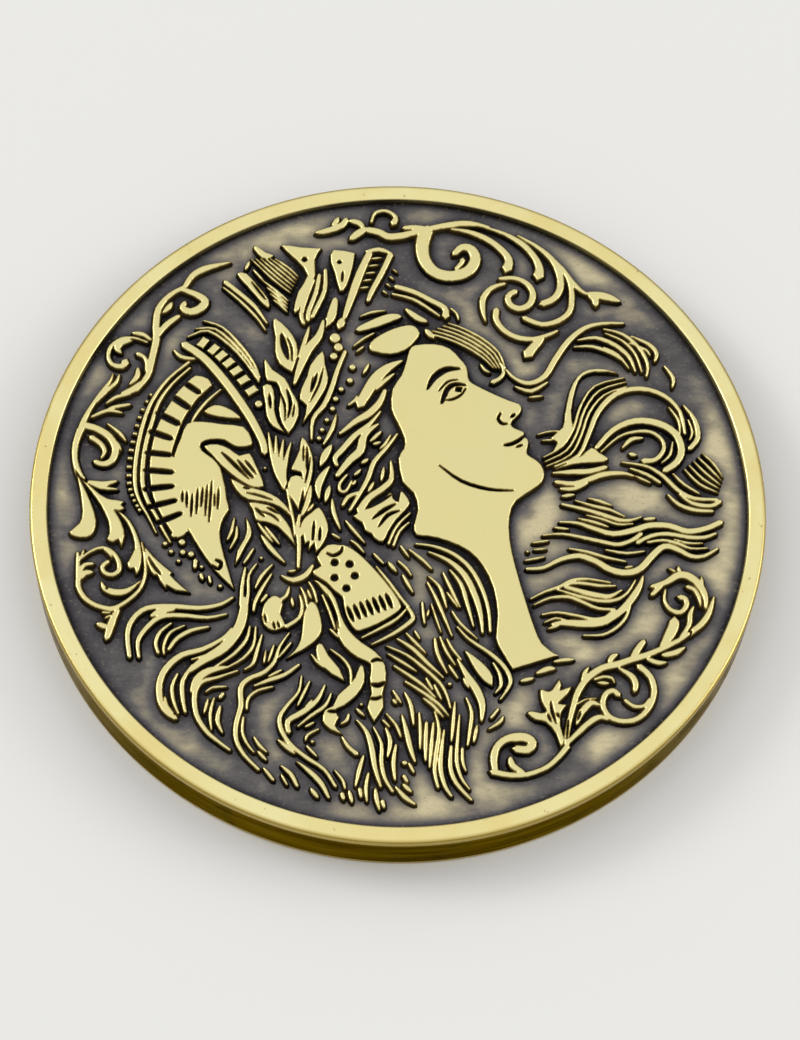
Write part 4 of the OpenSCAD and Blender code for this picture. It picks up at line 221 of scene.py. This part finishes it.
def field_material(name):
    """Grey patina, dark beside the relief and rim as patina plus painted shade, and wiped towards brass in
    the open. The edge's colour is painted dark reflections with painted glints.
    """
    m = Nodes(name)
    at = m.place()
    open_unshaded_ground = m.add("ShaderNodeAttribute", attribute_name="open").outputs["Fac"]
    wipe = m.noise(at, 300, 7, 0.68, stretch=(1, 2.6, 1), turn=-0.9)
    cloud = m.noise(at, 170, 3)
    rubbed = m.maths("ADD", m.remap(cloud, 0.34, 0.62, 0.40, 1.08),
                     m.remap(wipe, 0.3, 0.7, -0.20, 0.20, smooth=False))
    # open ground is light; beside the relief and rim it darkens with patina plus painted shade
    share = m.maths("MULTIPLY", open_unshaded_ground, rubbed, clamp=True)
    colour = m.ramp(share, FIELD_TONES)
    fleck = m.noise(at, 4200, 3, 0.6)
    colour = m.mix(m.remap(fleck, 0.55, 0.75, 0, 0.4), colour, m.mix(0.6, colour, (0.42, 0.38, 0.25, 1)))
    colour = m.mix(m.remap(fleck, 0.42, 0.28, 0, 0.22), colour, (0.03, 0.029, 0.03, 1))
    rust = m.remap(m.noise(at, 1300, 2, 0.4), 0.80, 0.82)
    colour = m.mix(m.maths("MULTIPLY", rust, 0.6), colour, (0.12, 0.055, 0.03, 1))

    parts = m.add("ShaderNodeSeparateXYZ", {0: at}).outputs
    edge = m.remap(m.radius(parts), (COIN_R - 0.4) * MM, (COIN_R - 0.3) * MM)
    # the edge's colour is painted reflection: dark for dark surroundings, with painted glints and painted
    # dark reflection blotches
    painted_glint_band = m.noise(at, 500, 4, 0.6, stretch=(0.22, 0.22, 3.2))
    dark_reflection_blotch = m.noise(at, 420, 3, 0.55)
    painted_edge_reflections = m.mix(m.remap(painted_glint_band, 0.35, 0.68), (0.21, 0.155, 0.040, 1), (0.080, 0.060, 0.018, 1))
    painted_edge_reflections = m.mix(m.remap(dark_reflection_blotch, 0.56, 0.72, 0, 0.6), painted_edge_reflections, (0.026, 0.021, 0.008, 1))
    colour = m.mix(edge, colour, painted_edge_reflections)
    rough = m.add("ShaderNodeMix", {0: edge, 2: m.remap(share, 0, 1, 0.5, 0.4),
                                    3: m.remap(dark_reflection_blotch, 0.4, 0.7, 0.2, 0.34)}).outputs[0]
    normal = m.bump(fleck, 0.00001, 0.6)
    normal = m.bump(wipe, 0.00001, 0.5, under=normal)
    m.shader.inputs["Specular Tint"].default_value = FIELD_TINT
    return m.finish(colour, rough, normal)


# ---- Meshes -------------------------------------------------------------------
def make_piece(name, points, faces, node, material, open_unshaded_ground=None):
    mesh = bpy.data.meshes.new(name)
    mesh.from_pydata(np.asarray(points, float) * MM, [], faces)
    mesh.polygons.foreach_set("use_smooth", np.ones(len(mesh.polygons), bool))
    if open_unshaded_ground is not None:
        layer = mesh.attributes.new("open", "FLOAT", "POINT")
        layer.data.foreach_set("value", np.asarray(open_unshaded_ground, np.float32))
    mesh.materials.append(material)
    mesh.update()
    piece = add_object(name, mesh)
    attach(piece, "root")
    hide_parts(node)
    return piece


WAVES = 7
WAVE_TURN = 6.28                        # one turn, in the waves' own draws


def waves(x, y, seed):
    """A smooth unevenness from -1 to 1, a few millimetres long."""
    rng = np.random.RandomState(seed)
    total = np.zeros_like(x, float)
    for _ in range(WAVES):
        angle, length, phase = rng.uniform(0, WAVE_TURN), rng.uniform(2.0, 6.5), rng.uniform(0, WAVE_TURN)
        total += np.sin((x * math.cos(angle) + y * math.sin(angle)) * WAVE_TURN / length + phase)
    return total / WAVES


def node_points(node):
    """The CAD node's mesh and its vertices, in metres."""
    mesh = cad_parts[node].data
    co = np.zeros(len(mesh.vertices) * 3)
    mesh.vertices.foreach_get("co", co)
    return mesh, co.reshape(-1, 3)


def face_up(tri, flat):
    """The triangles over flat points, all turned to face up."""
    a, b, c = flat[tri[:, 0]], flat[tri[:, 1]], flat[tri[:, 2]]
    turned = (b - a)[:, 0] * (c - a)[:, 1] - (b - a)[:, 1] * (c - a)[:, 0] < 0
    tri[turned] = tri[turned][:, ::-1]
    return tri


WELD = 1e5                              # points are matched to this fraction of a mm


def top_outline(node, front):
    """Both ends of each edge around the flat top of a relief node, in mm."""
    mesh, co = node_points(node)
    co = co / MM
    mesh.calc_loop_triangles()
    tri = np.zeros(len(mesh.loop_triangles) * 3, int)
    mesh.loop_triangles.foreach_get("vertices", tri)
    tri = tri.reshape(-1, 3)
    level = co[:, 2].max() if front else co[:, 2].min()
    tri = tri[(abs(co[tri, 2] - level) < 1e-4).all(1)]
    keys, same = np.unique(np.round(co[:, :2] * WELD).astype(int), axis=0, return_inverse=True)
    tri = same.reshape(-1)[tri]
    pairs = np.sort(np.concatenate([tri[:, [0, 1]], tri[:, [1, 2]], tri[:, [2, 0]]]), axis=1)
    pairs, count = np.unique(pairs, axis=0, return_counts=True)
    pairs = pairs[(count == 1) & (pairs[:, 0] != pairs[:, 1])]
    return keys[pairs[:, 0]] / WELD, keys[pairs[:, 1]] / WELD


def distance_grid(node, front, reach):
    """Signed distance in mm to the node's outline, below zero inside, and the grid's first indices."""
    a, b = top_outline(node, front)
    pad = int(reach / STEP) + 2
    i0, j0 = np.floor(np.minimum(a, b).min(0) / STEP).astype(int) - pad
    i1, j1 = np.ceil(np.maximum(a, b).max(0) / STEP).astype(int) + pad
    xs, ys = np.arange(i0, i1 + 1) * STEP, np.arange(j0, j1 + 1) * STEP
    far = np.full((len(xs), len(ys)), reach)
    flips = np.zeros((len(xs) + 1, len(ys)), int)
    for p, q in zip(a, b):
        lo = ((np.minimum(p, q) - reach) / STEP).astype(int) - (i0, j0)
        hi = ((np.maximum(p, q) + reach) / STEP).astype(int) + 1 - (i0, j0)
        si, sj = slice(max(lo[0], 0), hi[0] + 1), slice(max(lo[1], 0), hi[1] + 1)
        dx, dy = xs[si, None] - p[0], ys[None, sj] - p[1]
        e = q - p
        t = np.clip((dx * e[0] + dy * e[1]) / (e @ e), 0, 1)
        gap = np.hypot(dx - t * e[0], dy - t * e[1])
        far[si, sj] = np.minimum(far[si, sj], gap)
        low, high = sorted((p[1], q[1]))
        rows = np.where((ys > low) & (ys <= high))[0]
        if len(rows):
            cross = p[0] + (ys[rows] - p[1]) * e[0] / e[1]
            np.add.at(flips, (np.searchsorted(xs, cross), rows), 1)
    inside = np.cumsum(flips, axis=0)[:-1] % 2 == 1
    return np.where(inside, -far, far), int(i0), int(j0)


# The corners (0-3) and edge crossings (4-7) round the inside of a grid cell, by which corners are in.
CELLS = {1: (0, 4, 7), 2: (1, 5, 4), 3: (0, 1, 5, 7), 4: (2, 6, 5), 5: (0, 4, 5, 2, 6, 7), 6: (1, 2, 6, 4),
         7: (0, 1, 2, 6, 7), 8: (3, 7, 6), 9: (0, 4, 6, 3), 10: (1, 5, 6, 3, 7, 4), 11: (0, 1, 5, 6, 3),
         12: (2, 3, 7, 5), 13: (0, 4, 5, 2, 3), 14: (1, 2, 3, 7, 4)}
# Where two opposite corners are in, only these crossings are joined by the outline.
JOINED = {5: ((4, 5), (6, 7)), 10: ((5, 6), (7, 4))}
# The four neighbours of a grid cell, each with the two corners of the side between them.
SIDES = ((0, -1, (0, 0), (1, 0)), (0, 1, (0, 1), (1, 1)),
         (-1, 0, (0, 0), (0, 1)), (1, 0, (1, 0), (1, 1)))


def fill_cells(cells, extra=None):
    """Triangles over a set of grid cells, drawn from the corners on its border and any extra corners."""
    ni, nj = cells.shape
    padded = np.pad(cells, 1)
    here = padded[1:-1, 1:-1]

    def corner(i, j):
        return i * (nj + 1) + j

    edges = []
    for di, dj, a, b in SIDES:
        beside = padded[1 + di:ni + 1 + di, 1 + dj:nj + 1 + dj]
        i, j = np.where(here & ~beside)
        edges.append(np.stack([corner(i + a[0], j + a[1]), corner(i + b[0], j + b[1])], 1))
    edges = np.concatenate(edges)
    if not len(edges):
        return np.zeros((0, 3), int)
    used = np.unique(edges if extra is None else np.concatenate([edges.ravel(), extra]))
    index = {int(c): k for k, c in enumerate(used)}
    flat = [Vector((float(c // (nj + 1)), float(c % (nj + 1)))) for c in used]
    lines = [(index[int(a)], index[int(b)]) for a, b in edges]
    verts, _, faces, origin, _, _ = delaunay_2d_cdt(flat, lines, [], 0, 1e-7)
    spot = np.array([(v.x, v.y) for v in verts])
    tri = np.array(faces, int)
    middle = spot[tri].mean(1).astype(int)
    ok = (middle[:, 0] < ni) & (middle[:, 1] < nj)
    tri, middle = tri[ok], middle[ok]
    tri = tri[cells[middle[:, 0], middle[:, 1]]]
    names = np.array([used[o[0]] for o in origin])
    return names[face_up(tri, spot)]


REACH = 0.12                            # room in the grid beyond shoulder and slope
KEEP = 6                                # one corner in this many is kept on a wide flat top
CURVE = 0.85                            # power of the shoulder's sine
UNEVEN = 0.03                           # share of the height that a top varies by


def struck(node, front, high, shoulder, draft, seed):
    """A closed solid over the node's outline: rounded shoulders, sloping walls and a slightly uneven top."""
    reach = shoulder + draft + REACH
    d, i0, j0 = distance_grid(node, front, reach)
    ni, nj = d.shape
    inside = d < draft
    cell = inside[:-1, :-1] * 1 + inside[1:, :-1] * 2 + inside[1:, 1:] * 4 + inside[:-1, 1:] * 8
    deep = d < -shoulder - 0.01
    plain = deep[:-1, :-1] & deep[1:, :-1] & deep[1:, 1:] & deep[:-1, 1:]
    # a few corners inside the plain part keep a point, for the unevenness of a wide top
    inner = np.zeros_like(inside)
    inner[1:-1, 1:-1] = plain[:-1, :-1] & plain[1:, :-1] & plain[1:, 1:] & plain[:-1, 1:]
    I, J = np.meshgrid(np.arange(ni), np.arange(nj), indexing="ij")
    corner_id = I * nj + J
    extra = corner_id[inner & (I % KEEP == 0) & (J % KEEP == 0)]
    size = ni * nj
    faces = []

    def crossing(i, j, k):
        # edges along x are numbered from size, edges along y from 2 * size
        return {4: size + corner_id[i, j], 5: 2 * size + corner_id[i + 1, j],
                6: size + corner_id[i, j + 1], 7: 2 * size + corner_id[i, j]}[k]

    offsets = ((0, 0), (1, 0), (1, 1), (0, 1))
    rims = []
    for kind, ring in CELLS.items():
        i, j = np.where(cell == kind)
        if not len(i):
            continue
        cols = [corner_id[i + offsets[k][0], j + offsets[k][1]] if k < 4 else crossing(i, j, k)
                for k in ring]
        for k in range(1, len(ring) - 1):
            faces.append(np.stack([cols[0], cols[k], cols[k + 1]], 1))
        for k in range(len(ring)):
            n = (k + 1) % len(ring)
            ends = ring[k], ring[n]
            if min(ends) > 3 and ends in JOINED.get(kind, (ends,)):
                rims.append(np.stack([cols[k], cols[n]], 1))
    border = np.concatenate(faces)
    whole = cell == 15
    i, j = np.where(whole & ~plain)
    c = [corner_id[i + a, j + b] for a, b in offsets]
    band = np.concatenate([np.stack([c[0], c[1], c[2]], 1), np.stack([c[0], c[2], c[3]], 1)])
    # the cell corners are numbered by rows of nj in both grids
    top = np.concatenate([border, band, fill_cells(plain, extra)])
    under = np.concatenate([border, fill_cells(whole)])
    rims = np.concatenate(rims)

    used, flat = np.unique(np.concatenate([top.ravel(), under.ravel(), rims.ravel()]), return_inverse=True)
    top_f = flat[:top.size].reshape(-1, 3)
    under_f = flat[top.size:top.size + under.size].reshape(-1, 3)
    rim_f = flat[top.size + under.size:].reshape(-1, 2)
    kind, base = used // size, used % size
    ui, uj = base // nj, base % nj
    x, y = (ui + i0).astype(float), (uj + j0).astype(float)
    depth = d[ui, uj].copy()
    for k, (di, dj) in ((1, (1, 0)), (2, (0, 1))):
        s = kind == k
        a, b = d[ui[s], uj[s]], d[ui[s] + di, uj[s] + dj]
        t = np.clip((draft - a) / (b - a), 0.03, 0.97)      # a little off the corners
        x[s] += t * di
        y[s] += t * dj
        depth[s] = draft
    x, y = x * STEP, y * STEP
    t = np.clip((draft - depth) / (draft + shoulder), 0, 1)
    lift = high * np.sin(t * math.pi / 2) ** CURVE
    lift *= 1 - UNEVEN * (0.5 + 0.5 * waves(x, y, seed)) * t
    sign, foot = (1, FRONT_Z) if front else (-1, BACK_Z)
    surface = np.stack([x, y, foot + sign * lift], 1)
    # only the points that the underside uses are copied down
    low_used, low_flat = np.unique(np.concatenate([under_f.ravel(), rim_f.ravel()]), return_inverse=True)
    low = np.stack([x[low_used], y[low_used], np.full(len(low_used), foot - sign * SINK)], 1)
    low_under = low_flat[:under_f.size].reshape(-1, 3) + len(surface)
    low_rim = low_flat[under_f.size:].reshape(-1, 2) + len(surface)
    wall = np.concatenate([np.stack([rim_f[:, 1], rim_f[:, 0], low_rim[:, 0]], 1),
                           np.stack([rim_f[:, 1], low_rim[:, 0], low_rim[:, 1]], 1)])
    points = np.concatenate([surface, low])
    tri = np.concatenate([top_f, low_under[:, ::-1], wall])
    if not front:
        tri = tri[:, ::-1]
    kept, tri = np.unique(tri, return_inverse=True)
    return points[kept], tri.reshape(-1, 3), (d, i0, j0)


# ---- Ground cover: how much relief or rim is near each place on a field, which sets its patina and painted shade ---
def blurred(grid, sigma):
    r = int(3 * sigma / CELL)
    k = np.exp(-0.5 * (np.arange(-r, r + 1) * CELL / sigma) ** 2)
    k /= k.sum()

    def smoothed(line):
        return np.convolve(np.pad(line, r, mode="edge"), k, "valid")

    for axis in (0, 1):
        grid = np.apply_along_axis(smoothed, axis, grid)
    return grid


def cover_of(grids, field_r):
    n = int(COIN_R / CELL) + 4
    axis = np.arange(-n, n + 1) * CELL
    cover = (np.hypot(axis[:, None], axis[None, :]) > field_r - 0.05).astype(float)
    every = int(round(CELL / STEP))
    for d, i0, j0 in grids:
        i, j = np.where(d < 0.02)
        ok = ((i + i0) % every == 0) & ((j + j0) % every == 0)
        cover[(i[ok] + i0) // every + n, (j[ok] + j0) // every + n] = 1
    return 0.55 * blurred(cover, 0.38) + 0.45 * blurred(cover, 1.0), n


def sample(grid, n, x, y):
    u, v = x / CELL + n, y / CELL + n
    i, j = u.astype(int), v.astype(int)
    fu, fv = u - i, v - j
    return (grid[i, j] * (1 - fu) * (1 - fv) + grid[i + 1, j] * fu * (1 - fv)
            + grid[i, j + 1] * (1 - fu) * fv + grid[i + 1, j + 1] * fu * fv)


ROW = 0.866                             # rows of the field's points, as a share of their spacing
FULL_TURN = 6.283185307
DISH = 0.012                            # unevenness of the fields


def build_blank(front_cover, back_cover, material):
    """The round blank: two slightly uneven fields and a straight polished edge."""
    gap = 0.22
    around = 720
    n = int(COIN_R / gap) + 1
    tiers = int(n / ROW)
    spots = [(gap * (i + 0.5 * (j % 2)), gap * ROW * j)
             for j in range(-tiers, tiers + 1) for i in range(-n - 1, n + 1)]
    spots = [p for p in spots if math.hypot(*p) < COIN_R - 0.7 * gap]
    angles = [FULL_TURN * k / around for k in range(around)]
    ring = [(COIN_R * math.cos(a), COIN_R * math.sin(a)) for a in angles]
    flat = np.array(ring + spots)
    lines = [(k, (k + 1) % around) for k in range(around)]
    _, _, faces, origin, _, _ = delaunay_2d_cdt([Vector(p) for p in flat], lines, [], 1, 1e-7)
    order = np.array([o[0] for o in origin])
    tri = face_up(order[np.array(faces, int)], flat)
    x, y = flat.T
    calm = np.clip((COIN_R - 0.6 - np.hypot(x, y)) / 1.5, 0, 1)
    front = np.stack([x, y, FRONT_Z + DISH * calm * waves(x, y, 4)], 1)
    back = np.stack([x, y, BACK_Z - DISH * calm * waves(x, y, 9)], 1)
    total = len(flat)
    levels = np.linspace(FRONT_Z, BACK_Z, 7)[1:-1]
    rows = [np.arange(around)]
    rings = []
    for k, z in enumerate(levels):
        rings.append(np.stack([x[:around], y[:around], np.full(around, z)], 1))
        rows.append(2 * total + k * around + np.arange(around))
    rows.append(total + np.arange(around))
    side = []
    for upper, lower in zip(rows, rows[1:]):
        u2, l2 = np.roll(upper, -1), np.roll(lower, -1)
        side += [np.stack([upper, lower, l2], 1), np.stack([upper, l2, u2], 1)]
    tri = np.concatenate([tri, tri[:, ::-1] + total] + side)
    # low beside relief and rim, where the field gets patina plus painted shade
    ground = [1 - np.clip((sample(grid, half, x, y) - 0.06) / 0.42, 0, 1)
              for grid, half in (front_cover, back_cover)]
    ground = np.concatenate([ground[0], ground[1], np.zeros(around * len(levels))])
    points = np.concatenate([front, back] + rings)
    piece = make_piece("blank", points, tri, "coin_blank", material, ground)
    sharp = np.zeros(len(piece.data.edges), bool)
    ends = np.zeros(len(piece.data.edges) * 2, int)
    piece.data.edges.foreach_get("vertices", ends)
    ends = ends.reshape(-1, 2)
    for row in (rows[0], rows[-1]):
        sharp |= np.isin(ends, row).all(1)
    piece.data.attributes.new("sharp_edge", "BOOLEAN", "EDGE").data.foreach_set("value", sharp)


INNER_ROUND, OUTER_ROUND = 0.16, 0.24   # radii of a rim's corners
DENT = 0.006                            # unevenness of a rim's top


def build_rim(node, front, material):
    """A raised rim turned about the axis, with a soft inner corner and a rounded outer one."""
    lo, hi = (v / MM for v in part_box(node))
    inner = np.hypot(*node_points(node)[1][:, :2].T).min() / MM
    high = hi.z - lo.z
    foot, sign = (FRONT_Z, 1) if front else (BACK_Z, -1)
    # the section goes up the inner wall, over the top, and down the outer side
    section = [(inner - 0.10, -SINK), (inner - 0.10, 0.0), (inner - 0.075, 0.12), (inner - 0.05, 0.24)]
    section += [(inner + 0.13 - INNER_ROUND * math.cos(a), high - INNER_ROUND + INNER_ROUND * math.sin(a))
                for a in np.radians((10, 28, 46, 64, 80))]
    width = COIN_R - inner
    section += [(inner + 0.13 + (width - 0.39) * s, high + DENT * math.sin(s * math.pi) - DENT)
                for s in (0.08, 0.25, 0.5, 0.75, 0.92)]
    section += [(COIN_R - OUTER_ROUND + OUTER_ROUND * math.sin(a),
                 high - OUTER_ROUND + OUTER_ROUND * math.cos(a) - 0.003)
                for a in np.radians((12, 30, 48, 66, 80, 90))]
    section += [(COIN_R, high * 0.3), (COIN_R, 0.0), (COIN_R, -0.004), (COIN_R - 0.1, -SINK)]
    around = 480
    turn = np.arange(around) * 2 * math.pi / around
    dent = 0.012 * np.sin(turn * 23 + 1.0) * np.sin(turn * 7 + 0.4) + 0.008 * np.sin(turn * 41)
    points = []
    for r, z in section:
        lift = z - (0.5 + 0.5 * dent / 0.02) * DENT * (z > high * 0.9)
        points.append(np.stack([r * np.cos(turn), r * np.sin(turn), foot + sign * lift], 1))
    points = np.concatenate(points)
    m = len(section)
    k = np.arange(around)
    tri = []
    for s in range(m):
        a, b = s * around, (s + 1) % m * around
        quad = [a + k, a + (k + 1) % around, b + (k + 1) % around, b + k]
        tri += [np.stack([quad[0], quad[1], quad[2]], 1), np.stack([quad[0], quad[2], quad[3]], 1)]
    tri = np.concatenate(tri)
    if not front:
        tri = tri[:, ::-1]
    make_piece(node.replace("_", "_raised_"), points, tri, node, material)


# ---- The part -----------------------------------------------------------------
place_camera()
front_brass = relief_material("relief_brass", FRONT_Z, FRONT_Z + FRONT_RELIEF)
back_brass = relief_material("relief_brass_back", BACK_Z, BACK_Z - BACK_RELIEF)
rim_brass = rim_material("rim_brass")
patina = field_material("patinated_brass")

# height over the field, width of the rounded shoulder and reach of the sloping wall, in mm
SHAPES = {"scroll_": (FRONT_RELIEF, 0.13, 0.11), "leaf_tails": (FRONT_RELIEF, 0.13, 0.11),
          "head_and_neck": (FRONT_RELIEF, 0.09, 0.09),
          "back_pearls": (BACK_RELIEF, 0.40, 0.05), "back_": (BACK_RELIEF, 0.22, 0.10)}
STROKES = (FRONT_RELIEF, 0.10, 0.10)    # the rest of the front
grids = {True: [], False: []}
for seed, node in enumerate(sorted(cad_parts)):
    if node in ("coin_blank", "front_rim", "back_rim"):
        continue
    front = not node.startswith("back_")
    high, shoulder, draft = next((v for k, v in SHAPES.items() if node.startswith(k)), STROKES)
    points, faces, grid = struck(node, front, high, shoulder, draft, seed)
    grids[front].append(grid)
    make_piece("struck_" + node, points, faces, node, front_brass if front else back_brass)
build_blank(cover_of(grids[True], FRONT_FIELD_R), cover_of(grids[False], BACK_FIELD_R), patina)
build_rim("front_rim", True, rim_brass)
build_rim("back_rim", False, rim_brass)


# ---- Floor and light ----------------------------------------------------------
def build_stage():
    mesh = bpy.data.meshes.new("floor")
    mesh.from_pydata([(-3, -3, 0), (3, -3, 0), (3, 3, 0), (-3, 3, 0)], [], [(0, 1, 2, 3)])
    floor = add_object("floor", mesh)
    m = Nodes("floor")
    at = m.place()
    tone = m.mix(m.noise(at, 3, 2), (0.78, 0.78, 0.77, 1), (0.81, 0.81, 0.80, 1))
    m.finish(tone, 0.75, m.bump(m.noise(at, 900, 2), 0.00002, 0.2), metallic=0.0)
    mesh.materials.append(m.material)


def add_light(name, at, size, power):
    """A rectangular lamp that looks at the coin."""
    data = bpy.data.lights.new(name, "AREA")
    data.shape = "RECTANGLE"
    data.size, data.size_y = size
    data.energy = power
    lamp = add_object(name, data)
    lamp.location = at
    lamp.rotation_euler = (-Vector(at)).to_track_quat("-Z", "Y").to_euler()


def build_sky():
    """A soft studio glow, dim at the horizon and bright overhead."""
    world = bpy.data.worlds.new("studio")
    world.use_nodes = True
    sky = world.node_tree
    way = sky.nodes.new("ShaderNodeTexCoord")
    height = sky.nodes.new("ShaderNodeSeparateXYZ")
    glow = sky.nodes.new("ShaderNodeMapRange")
    for key, value in (("From Min", 0.0), ("From Max", 0.75), ("To Min", 0.16), ("To Max", 0.93)):
        glow.inputs[key].default_value = value
    sky.links.new(way.outputs["Generated"], height.inputs[0])
    sky.links.new(height.outputs["Z"], glow.inputs["Value"])
    sky.links.new(glow.outputs["Result"], sky.nodes["Background"].inputs["Strength"])
    sky.nodes["Background"].inputs["Color"].default_value = (1.0, 0.99, 0.97, 1)
    bpy.context.scene.world = world


build_stage()
add_light("key", (-0.75, 0.25, 0.55), (0.35, 0.35), 2.5)
add_light("fill", (0.6, 0.1, 0.35), (0.4, 0.3), 1.0)
build_sky()
bpy.context.scene.view_settings.view_transform = "Standard"
